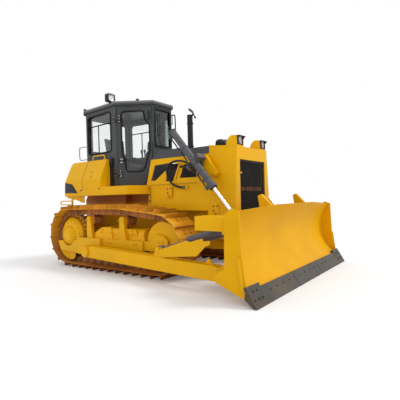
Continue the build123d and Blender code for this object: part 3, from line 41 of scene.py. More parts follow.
# The camera stands off the right front corner at about eye height, a little
# nearer the blade than the cab, and is tipped slightly down.
EYE = Vector((4.432, -5.121, 1.240))
YAW, PITCH, ROLL = (math.radians(angle) for angle in (125.912, -1.215, -1.481))
look = Vector((math.cos(YAW) * math.cos(PITCH), math.sin(YAW) * math.cos(PITCH), math.sin(PITCH)))
level = Vector((math.sin(YAW), -math.cos(YAW), 0))
upright = level.cross(look)
across = math.cos(ROLL) * level + math.sin(ROLL) * upright
above = math.cos(ROLL) * upright - math.sin(ROLL) * level
camera_data = bpy.data.cameras.new("camera")
camera_data.sensor_width = 36
camera_data.lens = 32.46
camera_data.shift_x = -0.020
camera_data.shift_y = 0.012
camera = bpy.data.objects.new("camera", camera_data)
scene.collection.objects.link(camera)
camera.matrix_world = Matrix((across, above, -look)).transposed().to_4x4()
camera.location = EYE
scene.camera = camera
scene.view_settings.view_transform = "Standard"


def add_node(tree, kind, settings=None, feeds=None):
    """One shader or geometry node; feeds are its inputs, as values or sockets."""
    made = tree.nodes.new(kind)
    for name, value in (settings or {}).items():
        setattr(made, name, value)
    for name, value in (feeds or {}).items():
        if isinstance(value, bpy.types.NodeSocket):
            tree.links.new(value, made.inputs[name])
        else:
            made.inputs[name].default_value = value
    return made


# A pale studio: one soft key lamp from ahead and above, an even sky of light
# from the world, and a floor that shows white and keeps the machine's shadow.
KEY_FROM = Vector((0.50, 0.34, 0.80))
world = bpy.data.worlds.new("studio")
scene.world = world
world.use_nodes = True
sky = world.node_tree
sky.nodes.clear()
path = add_node(sky, "ShaderNodeLightPath")
seen = add_node(sky, "ShaderNodeMath", {"operation": "MAXIMUM"}, {0: path.outputs["Is Camera Ray"], 1: path.outputs["Is Glossy Ray"]})
seen = add_node(sky, "ShaderNodeMath", {"operation": "MAXIMUM"}, {0: seen.outputs[0], 1: path.outputs["Is Transmission Ray"]})
dim = add_node(sky, "ShaderNodeBackground", feeds={"Color": (0.97, 0.98, 1.0, 1), "Strength": 0.96})
white = add_node(sky, "ShaderNodeBackground", feeds={"Color": (1, 1, 1, 1), "Strength": 1.0})
choice = add_node(sky, "ShaderNodeMixShader", feeds={0: seen.outputs[0], 1: dim.outputs[0], 2: white.outputs[0]})
add_node(sky, "ShaderNodeOutputWorld", feeds={"Surface": choice.outputs[0]})

key_data = bpy.data.lights.new("key", "SUN")
key_data.energy = 1.15
key_data.angle = math.radians(16)
key = bpy.data.objects.new("key", key_data)
scene.collection.objects.link(key)
key.rotation_mode = "QUATERNION"
key.rotation_quaternion = KEY_FROM.to_track_quat("Z", "Y")

floor_material = bpy.data.materials.new("studio_floor")
floor_material.use_nodes = True
ground = floor_material.node_tree
ground.nodes.clear()
path = add_node(ground, "ShaderNodeLightPath")
lit = add_node(ground, "ShaderNodeBsdfDiffuse", feeds={"Color": (0.78, 0.78, 0.78, 1)})
glow = add_node(ground, "ShaderNodeEmission", feeds={"Color": (1, 1, 1, 1), "Strength": 0.12})
shown = add_node(ground, "ShaderNodeAddShader", feeds={0: lit.outputs[0], 1: glow.outputs[0]})
choice = add_node(ground, "ShaderNodeMixShader", feeds={0: path.outputs["Is Camera Ray"], 1: lit.outputs[0], 2: shown.outputs[0]})
add_node(ground, "ShaderNodeOutputMaterial", feeds={"Surface": choice.outputs[0]})
floor_mesh = bpy.data.meshes.new("studio_floor")
floor_mesh.from_pydata([(-60, -60, 0), (60, -60, 0), (60, 60, 0), (-60, 60, 0)], [], [(0, 1, 2, 3)])
floor_mesh.materials.append(floor_material)
floor = bpy.data.objects.new("studio_floor", floor_mesh)
scene.collection.objects.link(floor)


# The hull, the engine bay's plates, the radiator guard and the decks are
# welded steel plate, primed and sprayed in one glossy yellow enamel that is
# scuffed at its corners and dusty low down.
def new_group(name, inputs, outputs):
    """A shader node group with named inputs and outputs."""
    tree = bpy.data.node_groups.new(name, "ShaderNodeTree")
    for label, kind, value in inputs:
        tree.interface.new_socket(label, in_out="INPUT", socket_type=kind).default_value = value
    for label, kind in outputs:
        tree.interface.new_socket(label, in_out="OUTPUT", socket_type=kind)
    return tree, tree.nodes.new("NodeGroupInput").outputs, tree.nodes.new("NodeGroupOutput").inputs


REAL, TINT = "NodeSocketFloat", "NodeSocketColor"


def make_soft_edge():
    """Rounds each edge in the shading and marks where paint has rubbed off it."""
    tree, given, out = new_group(
        "soft_edge",
        [("Radius", REAL, 0.006), ("Wear", REAL, 0.4), ("Scale", REAL, 9.0)],
        [("Mask", REAL), ("Normal", "NodeSocketVector")],
    )
    rounded = add_node(tree, "ShaderNodeBevel", {"samples": 4}, {"Radius": given["Radius"]})
    true = add_node(tree, "ShaderNodeNewGeometry")
    alike = add_node(tree, "ShaderNodeVectorMath", {"operation": "DOT_PRODUCT"}, {0: rounded.outputs[0], 1: true.outputs["Normal"]})
    edge = add_node(tree, "ShaderNodeMapRange", feeds={"Value": alike.outputs["Value"], "From Min": 0.97, "From Max": 0.80})
    place = add_node(tree, "ShaderNodeTexCoord")
    patches = add_node(tree, "ShaderNodeTexNoise", feeds={"Vector": place.outputs["Object"], "Scale": given["Scale"], "Detail": 4.0})
    rubbed = add_node(tree, "ShaderNodeMapRange", feeds={"Value": patches.outputs["Fac"], "From Min": 0.46, "From Max": 0.62})
    both = add_node(tree, "ShaderNodeMath", {"operation": "MULTIPLY"}, {0: edge.outputs[0], 1: rubbed.outputs[0]})
    mask = add_node(tree, "ShaderNodeMath", {"operation": "MULTIPLY", "use_clamp": True}, {0: both.outputs[0], 1: given["Wear"]})
    tree.links.new(mask.outputs[0], out["Mask"])
    tree.links.new(rounded.outputs[0], out["Normal"])
    return tree


def make_settled_dust():
    """Dust that is thickest near the ground and on upward faces."""
    tree, given, out = new_group(
        "settled_dust",
        [("Height", REAL, 1.1), ("Amount", REAL, 0.5), ("Scale", REAL, 3.0)],
        [("Mask", REAL)],
    )
    place = add_node(tree, "ShaderNodeTexCoord")
    axes = add_node(tree, "ShaderNodeSeparateXYZ", feeds={0: place.outputs["Object"]})
    low = add_node(tree, "ShaderNodeMapRange", feeds={"Value": axes.outputs["Z"], "From Min": given["Height"], "From Max": 0.0})
    true = add_node(tree, "ShaderNodeNewGeometry")
    facing = add_node(tree, "ShaderNodeSeparateXYZ", feeds={0: true.outputs["Normal"]})
    lying = add_node(tree, "ShaderNodeMapRange", feeds={"Value": facing.outputs["Z"], "From Min": 0.5, "From Max": 1.0, "To Max": 0.35})
    where = add_node(tree, "ShaderNodeMath", {"operation": "MAXIMUM"}, {0: low.outputs[0], 1: lying.outputs[0]})
    cloud = add_node(tree, "ShaderNodeTexNoise", feeds={"Vector": place.outputs["Object"], "Scale": given["Scale"], "Detail": 7.0, "Roughness": 0.62})
    patchy = add_node(tree, "ShaderNodeMapRange", feeds={"Value": cloud.outputs["Fac"], "From Min": 0.38, "From Max": 0.72})
    both = add_node(tree, "ShaderNodeMath", {"operation": "MULTIPLY"}, {0: where.outputs[0], 1: patchy.outputs[0]})
    mask = add_node(tree, "ShaderNodeMath", {"operation": "MULTIPLY", "use_clamp": True}, {0: both.outputs[0], 1: given["Amount"]})
    tree.links.new(mask.outputs[0], out["Mask"])
    return tree


def make_surface_grain():
    """Fine bumps, such as orange peel in paint or the skin of a casting, and a slow drift of tone."""
    tree, given, out = new_group(
        "surface_grain",
        [("Color", TINT, (1, 1, 1, 1)), ("Drift", REAL, 0.1), ("Scale", REAL, 300.0)],
        [("Color", TINT), ("Height", REAL), ("Streak", REAL)],
    )
    place = add_node(tree, "ShaderNodeTexCoord")
    slow = add_node(tree, "ShaderNodeTexNoise", feeds={"Vector": place.outputs["Object"], "Scale": 1.7, "Detail": 5.0})
    share = add_node(tree, "ShaderNodeMapRange", feeds={"Value": slow.outputs["Fac"], "From Min": 0.3, "From Max": 0.7, "To Min": -1.0, "To Max": 1.0})
    swing = add_node(tree, "ShaderNodeMath", {"operation": "MULTIPLY_ADD"}, {0: share.outputs[0], 1: given["Drift"], 2: 1.0})
    drifted = add_node(tree, "ShaderNodeVectorMath", {"operation": "SCALE"}, {0: given["Color"], "Scale": swing.outputs[0]})
    fine = add_node(tree, "ShaderNodeTexNoise", feeds={"Vector": place.outputs["Object"], "Scale": given["Scale"], "Detail": 3.0})
    tree.links.new(drifted.outputs[0], out["Color"])
    tree.links.new(fine.outputs["Fac"], out["Height"])
    tree.links.new(slow.outputs["Fac"], out["Streak"])
    return tree


soft_edge = make_soft_edge()
settled_dust = make_settled_dust()
surface_grain = make_surface_grain()
DUST = (0.33, 0.19, 0.075, 1)
BARE_STEEL = (0.16, 0.12, 0.085, 1)


def blend_colour(tree, share, first, second):
    """Mixes two colours by a mask."""
    made = add_node(tree, "ShaderNodeMix", {"data_type": "RGBA"})
    for socket, value in ((0, share), (6, first), (7, second)):
        if isinstance(value, bpy.types.NodeSocket):
            tree.links.new(value, made.inputs[socket])
        else:
            made.inputs[socket].default_value = value
    return made.outputs[2]


def finish_of(name, colour, rough, metal=0.0, coat=0.0, drift=0.06, grain=300.0, depth=0.06,
              wear=0.5, under=BARE_STEEL, dust=0.5, dust_height=1.1, edge=0.006, gloss=0.28, tint=None):
    """A coated or bare metal finish with rounded edges, wear, dust and grain."""
    material = bpy.data.materials.new(name)
    material.use_nodes = True
    tree = material.node_tree
    tree.nodes.clear()
    base = colour + (1,)
    if tint:
        base = tint(tree, base)
    skin = add_node(tree, "ShaderNodeGroup", {"node_tree": surface_grain}, {"Color": base, "Drift": drift, "Scale": grain})
    rub = add_node(tree, "ShaderNodeGroup", {"node_tree": soft_edge}, {"Radius": edge, "Wear": wear, "Scale": 9.0})
    dirt = add_node(tree, "ShaderNodeGroup", {"node_tree": settled_dust}, {"Height": dust_height, "Amount": dust, "Scale": 3.0})
    worn = blend_colour(tree, rub.outputs["Mask"], skin.outputs["Color"], under)
    dusty = blend_colour(tree, dirt.outputs["Mask"], worn, DUST)
    dull = add_node(tree, "ShaderNodeMapRange", feeds={"Value": dirt.outputs["Mask"], "To Min": rough, "To Max": 0.92})
    bump = add_node(tree, "ShaderNodeBump", feeds={"Strength": depth, "Distance": 0.002, "Height": skin.outputs["Height"], "Normal": rub.outputs["Normal"]})
    shader = add_node(tree, "ShaderNodeBsdfPrincipled", feeds={
        "Base Color": dusty, "Metallic": metal, "Roughness": dull.outputs[0], "Coat Weight": coat,
        "Coat Roughness": 0.12, "Specular IOR Level": gloss, "Normal": bump.outputs[0]})
    add_node(tree, "ShaderNodeOutputMaterial", feeds={"Surface": shader.outputs[0]})
    return material


def dress(material, *names):
    """Gives CAD nodes a finish."""
    for name in names:
        mesh = nodes[name].data
        mesh.materials.clear()
        mesh.materials.append(material)


def painted_shade_by_height(low, high, brown=(0.13, 0.045, 0.015, 1), rear=None):
    """Painted shade: the colour turns to a darker shade colour below a height, and where a place is given, only behind
    it and above about 1.2 m.
    """
    def tint(tree, base):
        spot = add_node(tree, "ShaderNodeTexCoord")
        axes = add_node(tree, "ShaderNodeSeparateXYZ", feeds={0: spot.outputs["Object"]})
        share = add_node(tree, "ShaderNodeMapRange", feeds={"Value": axes.outputs["Z"], "From Min": low, "From Max": high})
        if rear is not None:
            ahead = add_node(tree, "ShaderNodeMapRange", feeds={"Value": axes.outputs["X"], "From Min": rear, "From Max": rear + 0.04})
            under = add_node(tree, "ShaderNodeMapRange", feeds={"Value": axes.outputs["Z"], "From Min": 1.2, "From Max": 1.1})
            kept = add_node(tree, "ShaderNodeMath", {"operation": "MAXIMUM"}, {0: ahead.outputs[0], 1: under.outputs[0]})
            share = add_node(tree, "ShaderNodeMath", {"operation": "MAXIMUM"}, {0: share.outputs[0], 1: kept.outputs[0]})
        return blend_colour(tree, share.outputs[0], brown, base)
    return tint


yellow_enamel = finish_of("yellow_enamel", (0.82, 0.425, 0.0008), 0.36, coat=0.03, dust=0.12, wear=0.3, gloss=0.10)
dress(yellow_enamel, "main_frame", "drawbar", "radiator_guard", "hood_sides", "deck", "side_boxes", "fuel_tank",
      "head_lamps", "grab_handles", "track_frames", "final_drives", "idlers", "track_rollers")
dress(yellow_enamel, "push_arms", "brace_guards")
# The hull's finish paints shade: below 1.31 m, down to about 1.2 m and behind x = -0.36 m, its yellow turns red-brown
# where the belly under the deck lies in shade.
hull_enamel_painted_shade = finish_of("hull_enamel_painted_shade", (0.82, 0.425, 0.0008), 0.4, coat=0.02, dust=0.14, wear=0.3, gloss=0.10,
                        tint=painted_shade_by_height(1.31, 1.34, (0.40, 0.13, 0.02, 1), rear=-0.36))
dress(hull_enamel_painted_shade, "main_frame")
graphite_enamel = finish_of("graphite_enamel", (0.092, 0.093, 0.101), 0.42, drift=0.05, dust=0.25, wear=0.25,
                            under=(0.2, 0.2, 0.2, 1))
cab_enamel = finish_of("cab_enamel", (0.062, 0.066, 0.068), 0.4, drift=0.05, dust=0.2, wear=0.2, gloss=0.22,
                       under=(0.2, 0.2, 0.2, 1))
dress(cab_enamel, "cab_shell", "cowl", "hood_top", "door_right", "door_left")
# The roof paints light and shade: a painted highlight of light grey on its top, turning to painted shade in the cab's
# dark grey on its rim below 3.005 m.
roof_enamel_lit_and_shaded = finish_of("roof_enamel_lit_and_shaded", (0.17, 0.175, 0.18), 0.42, drift=0.06, dust=0.1, wear=0.1, gloss=0.2,
                        tint=painted_shade_by_height(3.005, 3.035, (0.062, 0.066, 0.068, 1)))
dress(roof_enamel_lit_and_shaded, "cab_roof")
dress(graphite_enamel, "lift_barrel_right", "lift_barrel_left", "yoke_right", "yoke_left", "tilt_cylinder", "screw_brace")
satin_black = finish_of("satin_black", (0.018, 0.018, 0.019), 0.5, dust=0.25, wear=0.2, under=(0.12, 0.12, 0.12, 1))
dress(satin_black, "exhaust_pipe", "pre_cleaner", "rain_cap", "work_lamps", "radiator_grille", "radiator_core", "lift_hoses")
cast_iron = finish_of("cast_iron", (0.05, 0.045, 0.04), 0.7, grain=120.0, depth=0.3, wear=0.2)
dress(cast_iron, "engine_block")
rusted_steel = finish_of("rusted_steel", (0.34, 0.125, 0.034), 0.72, drift=0.35, grain=90.0, depth=0.35, wear=0.8,
                         under=(0.36, 0.19, 0.09, 1), dust=0.6)
dress(rusted_steel, "sprockets", "carrier_rollers", "track_right", "track_left")
edge_steel = finish_of("edge_steel", (0.075, 0.07, 0.062), 0.5, metal=0.35, drift=0.2, grain=60.0, depth=0.3, wear=0.9,
                       under=(0.3, 0.28, 0.25, 1), dust=0.3, dust_height=0.4)
dress(edge_steel, "cutting_edge")
chrome = finish_of("chrome", (0.86, 0.86, 0.86), 0.1, metal=1.0, drift=0.0, grain=600.0, depth=0.01, wear=0.0, dust=0.0)
dress(chrome, "lift_rod_right", "lift_rod_left")
cab_plastic = finish_of("cab_plastic", (0.03, 0.03, 0.032), 0.65, grain=500.0, depth=0.25, wear=0.0, dust=0.1)
dress(cab_plastic, "seat_base", "control_console", "operator_seat")


def clear_glass(name, tint, rough=0.02):
    """Glass that lets the lamps' light through its shadow."""
    material = bpy.data.materials.new(name)
    material.use_nodes = True
    tree = material.node_tree
    tree.nodes.clear()
    glass = add_node(tree, "ShaderNodeBsdfPrincipled", feeds={
        "Base Color": tint + (1,), "Roughness": rough, "IOR": 1.45, "Transmission Weight": 1.0})
    through = add_node(tree, "ShaderNodeBsdfTransparent", feeds={"Color": tint + (1,)})
    ray = add_node(tree, "ShaderNodeLightPath")
    choice = add_node(tree, "ShaderNodeMixShader", feeds={0: ray.outputs["Is Shadow Ray"], 1: glass.outputs[0], 2: through.outputs[0]})
    add_node(tree, "ShaderNodeOutputMaterial", feeds={"Surface": choice.outputs[0]})
    return material


dress(clear_glass("cab_glazing", (0.925, 0.95, 0.945)), "cab_glass", "door_glass_right", "door_glass_left")
dress(clear_glass("lamp_glass", (0.95, 0.95, 0.94)), "lamp_lenses")


# Each track is 36 grouser shoes bolted to forged links, with pins pressed
# through the link ends. The steel runs bare and rusts; the shoes keep some
# yellow, and the grousers are worn brown. Shoes, grousers and shoe bolts are also painted brown low on the loop as
# painted shade, turning to lit yellow on the top run.
SPROCKET_X = -1.758


def place(ahead, left, up):
    """A point given in mm ahead of the sprocket, to the left and up."""
    return Vector((SPROCKET_X + ahead / 1000, left / 1000, up / 1000))


def prism(bm, outline, way, soften=0.0):
    """Adds a straight-sided form: an outline of points and the way it is thick."""
    near = [bm.verts.new(point) for point in outline]
    far = [bm.verts.new(point + way) for point in outline]
    faces = [bm.faces.new(near), bm.faces.new(far[::-1])]
    for index in range(len(near)):
        faces.append(bm.faces.new((near[index - 1], far[index - 1], far[index], near[index])))
    bmesh.ops.recalc_face_normals(bm, faces=faces)
    if soften:
        edges = list({edge for face in faces for edge in face.edges})
        bmesh.ops.bevel(bm, geom=edges, offset=soften / 1000, segments=2, profile=0.5, affect="EDGES", clamp_overlap=True)


def beside(bm, outline, left, width, soften=3.0):
    """A plate drawn ahead and up, from one place across to another."""
    prism(bm, [place(ahead, left, up) for ahead, up in outline], Vector((0, width / 1000, 0)), soften)


def facing(bm, outline, ahead, depth, soften=3.0):
    """A plate drawn left and up, thick forward."""
    prism(bm, [place(ahead, left, up) for left, up in outline], Vector((depth / 1000, 0, 0)), soften)


def lying(bm, outline, up, height, soften=3.0):
    """A plate drawn ahead and left, thick upward."""
    prism(bm, [place(ahead, left, up) for ahead, left in outline], Vector((0, 0, height / 1000)), soften)


def oblong(low, high):
    """The four corners of an upright rectangle."""
    return [(low[0], low[1]), (high[0], low[1]), (high[0], high[1]), (low[0], high[1])]


def turned(bm, centre, axis, profile, steps=24):
    """A form turned round an axis: profile is radius and place along it, in mm."""
    axis = Vector(axis).normalized()
    out = axis.orthogonal().normalized()
    verts = [bm.verts.new(centre + axis * along / 1000 + out * radius / 1000) for radius, along in profile]
    edges = [bm.edges.new(pair) for pair in zip(verts, verts[1:])]
    before = set(bm.faces)
    bmesh.ops.spin(bm, geom=verts + edges, cent=centre, axis=axis, angle=math.tau, steps=steps)
    new = [face for face in bm.faces if face not in before]
    corners = list({vert for face in new for vert in face.verts})
    bmesh.ops.remove_doubles(bm, verts=corners, dist=1e-5)
    bmesh.ops.recalc_face_normals(bm, faces=[face for face in bm.faces if face not in before])


def both_sides(bm):
    """Adds the copy on the machine's other side."""
    copy = bmesh.ops.duplicate(bm, geom=bm.verts[:] + bm.edges[:] + bm.faces[:])["geom"]
    verts = [item for item in copy if isinstance(item, bmesh.types.BMVert)]
    for vert in verts:
        vert.co.y = -vert.co.y
    bmesh.ops.reverse_faces(bm, faces=[item for item in copy if isinstance(item, bmesh.types.BMFace)])


def as_piece(name, mesh, material, body, stands_for=(), smooth=35):
    """A finished piece that rides on a body."""
    mesh.name = name
    mesh.materials.clear()
    mesh.materials.append(material)
    mesh.shade_smooth()
    mesh.set_sharp_from_angle(angle=math.radians(smooth))
    piece = bpy.data.objects.new(name, mesh)
    scene.collection.objects.link(piece)
    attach(piece, body)
    if stands_for:
        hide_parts(*stands_for)
    return piece


def from_bm(name, bm, material, body, stands_for=(), smooth=35):
    """Turns mesh work into a finished piece."""
    mesh = bpy.data.meshes.new(name)
    bm.to_mesh(mesh)
    bm.free()
    return as_piece(name, mesh, material, body, stands_for, smooth)


def repeat_tree():
    """Copies of a small mesh, one on each spot, turned to the spot's two directions."""
    tree = bpy.data.node_groups.new("repeat_on_spots", "GeometryNodeTree")
    tree.interface.new_socket("Geometry", in_out="INPUT", socket_type="NodeSocketGeometry")
    tree.interface.new_socket("Part", in_out="INPUT", socket_type="NodeSocketObject")
    tree.interface.new_socket("Finish", in_out="INPUT", socket_type="NodeSocketMaterial")
    tree.interface.new_socket("Geometry", in_out="OUTPUT", socket_type="NodeSocketGeometry")
    given = tree.nodes.new("NodeGroupInput").outputs
    part = add_node(tree, "GeometryNodeObjectInfo", feeds={"Object": given["Part"]})
    aim = add_node(tree, "GeometryNodeInputNamedAttribute", {"data_type": "FLOAT_VECTOR"}, {"Name": "aim"})
    run = add_node(tree, "GeometryNodeInputNamedAttribute", {"data_type": "FLOAT_VECTOR"}, {"Name": "run"})
    size = add_node(tree, "GeometryNodeInputNamedAttribute", {"data_type": "FLOAT"}, {"Name": "size"})
    turn = add_node(tree, "FunctionNodeAxesToRotation", {"primary_axis": "Z", "secondary_axis": "X"},
                    {"Primary Axis": aim.outputs["Attribute"], "Secondary Axis": run.outputs["Attribute"]})
    copies = add_node(tree, "GeometryNodeInstanceOnPoints", feeds={
        "Points": given["Geometry"], "Instance": part.outputs["Geometry"], "Rotation": turn.outputs["Rotation"],
        "Scale": size.outputs["Attribute"]})
    real = add_node(tree, "GeometryNodeRealizeInstances", feeds={"Geometry": copies.outputs["Instances"]})
    coated = add_node(tree, "GeometryNodeSetMaterial", feeds={"Geometry": real.outputs["Geometry"], "Material": given["Finish"]})
    tree.links.new(coated.outputs["Geometry"], tree.nodes.new("NodeGroupOutput").inputs["Geometry"])
    return tree


repeat_on_spots = repeat_tree()


def repeat(name, bm, spots, material, body, stands_for=(), smooth=35):
    """One piece of many copies; each spot is a place, the way it faces, the way it runs and its size."""
    part_mesh = bpy.data.meshes.new("part")
    bm.to_mesh(part_mesh)
    bm.free()
    part = bpy.data.objects.new("part", part_mesh)
    spot_mesh = bpy.data.meshes.new("spots")
    spot_mesh.from_pydata([spot[0] for spot in spots], [], [])
    for label, kind, field, values in (
        ("aim", "FLOAT_VECTOR", "vector", [axis for spot in spots for axis in spot[1]]),
        ("run", "FLOAT_VECTOR", "vector", [axis for spot in spots for axis in spot[2]]),
        ("size", "FLOAT", "value", [spot[3] if len(spot) > 3 else 1.0 for spot in spots]),
    ):
        spot_mesh.attributes.new(label, kind, "POINT").data.foreach_set(field, values)
    holder = bpy.data.objects.new("spots", spot_mesh)
    for helper in (part, holder):
        scene.collection.objects.link(helper)
    modifier = holder.modifiers.new("repeat", "NODES")
    modifier.node_group = repeat_on_spots
    sockets = {item.name: item.identifier for item in repeat_on_spots.interface.items_tree if item.in_out == "INPUT"}
    modifier[sockets["Part"]] = part
    modifier[sockets["Finish"]] = material
    bpy.context.view_layer.update()
    evaluated = holder.evaluated_get(bpy.context.evaluated_depsgraph_get())
    mesh = bpy.data.meshes.new_from_object(evaluated)
    for helper in (part, holder):
        bpy.data.objects.remove(helper)
    for attribute in [a.name for a in mesh.attributes if a.name in ("aim", "run", "size")]:
        mesh.attributes.remove(mesh.attributes[attribute])
    return as_piece(name, mesh, material, body, stands_for, smooth)


SHOES = 36
PITCH_FLOOR, SPROCKET_UP, IDLER_UP, TOP_RUN = 139.0, 576.0, 537.0, 1019.0
SPROCKET_PITCH, IDLER_PITCH, IDLER_AHEAD = 437.0, 398.0, 2350.0
CARRIERS = (600.0, 1490.0)
TRACK_LEFT = 940.0


def arc(centre, radius, start, sweep, steps=400):
    """Points along an arc in the ahead and up plane."""
    angles = [math.radians(start + sweep * step / steps) for step in range(steps + 1)]
    return [Vector((centre[0] + radius * math.cos(a), centre[1] + radius * math.sin(a))) for a in angles]


def pin_places():
    """The track's pins, evenly spaced round its pitch line."""
    drop = (IDLER_UP - TOP_RUN, IDLER_AHEAD - CARRIERS[1])
    run = math.hypot(*drop)
    lean = math.atan2(*drop) + math.asin(IDLER_PITCH / run)
    reach = math.sqrt(run**2 - IDLER_PITCH**2)
    touch = Vector((CARRIERS[1] + reach * math.cos(lean), TOP_RUN + reach * math.sin(lean)))
    end = math.degrees(math.atan2(touch.y - IDLER_UP, touch.x - IDLER_AHEAD))
    line = [Vector((0, PITCH_FLOOR))] + arc((IDLER_AHEAD, IDLER_UP), IDLER_PITCH, -90, end + 90)
    line += [Vector((ahead, TOP_RUN)) for ahead in CARRIERS[::-1]] + arc((0, SPROCKET_UP), SPROCKET_PITCH, 90, 180)
    gone = [0.0]
    for before, after in zip(line, line[1:]):
        gone.append(gone[-1] + (after - before).length)
    pins, index = [], 0
    for shoe in range(SHOES):
        want = gone[-1] * shoe / SHOES
        while gone[index + 1] < want:
            index += 1
        share = (want - gone[index]) / max(gone[index + 1] - gone[index], 1e-9)
        pins.append(line[index].lerp(line[index + 1], share))
    return pins


pins = pin_places()


def track_spots(left):
    """Where each shoe's pin is, which way is out of the loop and which way the track runs."""
    spots = []
    for start, end in zip(pins, pins[1:] + pins[:1]):
        along = (end - start).normalized()
        spots.append((place(start.x, left, start.y), (along.y, 0, -along.x), (along.x, 0, along.y)))
    return spots


def local(x, y, z):
    """A point in a small part's own frame, in mm."""
    return Vector((x / 1000, y / 1000, z / 1000))


def shoe_plate():
    bm = bmesh.new()
    lips = [(-24, 50), (-24, 58), (-4, 70), (6, 74), (196, 74), (216, 73), (216, 65), (196, 61), (8, 61), (-4, 56)]
    prism(bm, [local(x, -255, z) for x, z in lips], local(0, 510, 0), 2.0)
    for left in (-67, 67):
        prism(bm, [local(x, left - 24, z) for x, z in oblong((52, 74), (138, 78))], local(0, 48, 0), 1.5)
    return bm


def grouser_bar():
    bm = bmesh.new()
    foot, crest = 174.8, 139.0
    ends = [(-255, 74), (-255, 112), (-238, crest), (238, crest), (255, 112), (255, 74)]
    near = [local(foot - (15 if z < 80 else 12 if z < 120 else 7), y, z) for y, z in ends]
    far = [local(foot + (15 if z < 80 else 12 if z < 120 else 7), y, z) for y, z in ends]
    a = [bm.verts.new(point) for point in near]
    b = [bm.verts.new(point) for point in far]
    bm.faces.new(a)
    bm.faces.new(b[::-1])
    for index in range(len(a)):
        bm.faces.new((a[index - 1], b[index - 1], b[index], a[index]))
    bmesh.ops.recalc_face_normals(bm, faces=bm.faces[:])
    bmesh.ops.bevel(bm, geom=bm.edges[:], offset=0.002, segments=1, affect="EDGES")
    return bm


def link_pair():
    """Both links under a shoe with their pin and bushing."""
    bm = bmesh.new()
    rear = [(40 * math.cos(math.radians(a)), 40 * math.sin(math.radians(a))) for a in range(120, 270, 25)]
    front = [(203 + 40 * math.cos(math.radians(a)), 40 * math.sin(math.radians(a))) for a in range(-90, 75, 25)]
    for side_of in (-1, 1):
        inner, outer = side_of * 67 - 24, side_of * 67 + 24
        low = [(110, -45), (20, -45)] + rear[::-1] + [(6, 52), (14, 60), (110, 60)]
        high = [(84, 60), (150, 60), (176, 56)] + front[::-1] + [(190, -45), (84, -45)]
        prism(bm, [local(x, inner + (5 if side_of < 0 else 0), z) for x, z in low], local(0, 34 + 5 * 0, 0), 2.0)
        prism(bm, [local(x, inner + (-6 if side_of < 0 else 10), z) for x, z in high], local(0, 38, 0), 2.0)
    turned(bm, local(0, 0, 0), (0, 1, 0), [(0, -100), (17, -100), (21, -96), (21, 96), (17, 100), (0, 100)], 14)
    turned(bm, local(0, 0, 0), (0, 1, 0), [(0, -43), (31, -43), (31, 43), (0, 43)], 14)
    return bm


def hex_head(radius=11.0, height=9.0):
    """A hexagon bolt head on its washer."""
    bm = bmesh.new()
    turned(bm, local(0, 0, 0), (0, 0, 1), [(0, 0), (radius * 1.55, 0), (radius * 1.55, 2.6), (0, 2.6)], 16)
    ring = [local(radius * 1.12 * math.cos(math.radians(60 * k)), radius * 1.12 * math.sin(math.radians(60 * k)), 2) for k in range(6)]
    prism(bm, ring, local(0, 0, height), 1.2)
    return bm


# The shoe and grouser finishes paint shade by height: brown below 0.25 m (grousers 0.20 m), turning to lit yellow above
# 0.75 m (grousers 0.95 m); their rubbed edges and rust are wear.
shoe_paint_and_shade = finish_of("shoe_paint_and_shade", (0.72, 0.34, 0.015), 0.5, drift=0.2, grain=120.0, depth=0.25, wear=0.8,
                       under=(0.22, 0.08, 0.025, 1), dust=0.3, dust_height=1.0, edge=0.012, gloss=0.15,
                       tint=painted_shade_by_height(0.25, 0.75, (0.42, 0.155, 0.028, 1)))
grouser_steel_and_shade = finish_of("grouser_steel_and_shade", (0.56, 0.25, 0.02), 0.55, drift=0.3, grain=90.0, depth=0.4, wear=0.9,
                          under=(0.16, 0.055, 0.02, 1), dust=0.3, dust_height=0.9, edge=0.010, gloss=0.15,
                          tint=painted_shade_by_height(0.20, 0.95, (0.26, 0.085, 0.02, 1)))
for side, left in (("right", -TRACK_LEFT), ("left", TRACK_LEFT)):
    spots = track_spots(left)
    repeat(f"track_shoes_{side}", shoe_plate(), spots, shoe_paint_and_shade, "tractor", (f"track_{side}",))
    repeat(f"track_grousers_{side}", grouser_bar(), spots, grouser_steel_and_shade, "tractor", (f"track_{side}",))
    repeat(f"track_links_{side}", link_pair(), spots, rusted_steel, "tractor", (f"track_{side}",))
    bolts = []
    for where, aim, run in spots:
        for across_by in (-67, 67):
            for along_by in (72, 118):
                out, way = Vector(aim), Vector(run)
                bolts.append((where + way * along_by / 1000 + out * 0.078 + Vector((0, across_by / 1000, 0)), aim, run))
    repeat(f"shoe_bolts_{side}", hex_head(10, 9), bolts, grouser_steel_and_shade, "tractor")


# The final drive is a cast case whose cover is bolted to the hub, outside a
# sprocket made of bolted-on tooth segments.
def ring_spots(centre, radius, count, out, turn=0.0, size=1.0):
    """Bolt places in a ring on an upright face that looks out to one side."""
    spots = []
    for index in range(count):
        angle = math.radians(turn + 360 * index / count)
        where = centre + Vector((math.cos(angle), 0, math.sin(angle))) * radius / 1000
        spots.append((where, (0, out, 0), (1, 0, 0), size))
    return spots


def other_side(spots):
    """Spots and their mirror images across the machine."""
    turned_over = []
    for where, aim, run, *rest in spots:
        turned_over.append((Vector((where[0], -where[1], where[2])), (aim[0], -aim[1], aim[2]), run, *rest))
    return spots + turned_over


bolts = ring_spots(place(0, -1076, SPROCKET_UP), 262, 14, -1, 10) + ring_spots(place(0, -1135.5, SPROCKET_UP), 128, 6, -1, 20, 0.8)
bolts += ring_spots(place(0, -975.5, SPROCKET_UP), 372, 27, -1, 6, 1.1)
repeat("final_drive_bolts", hex_head(13, 11), other_side(bolts), yellow_enamel, "tractor")

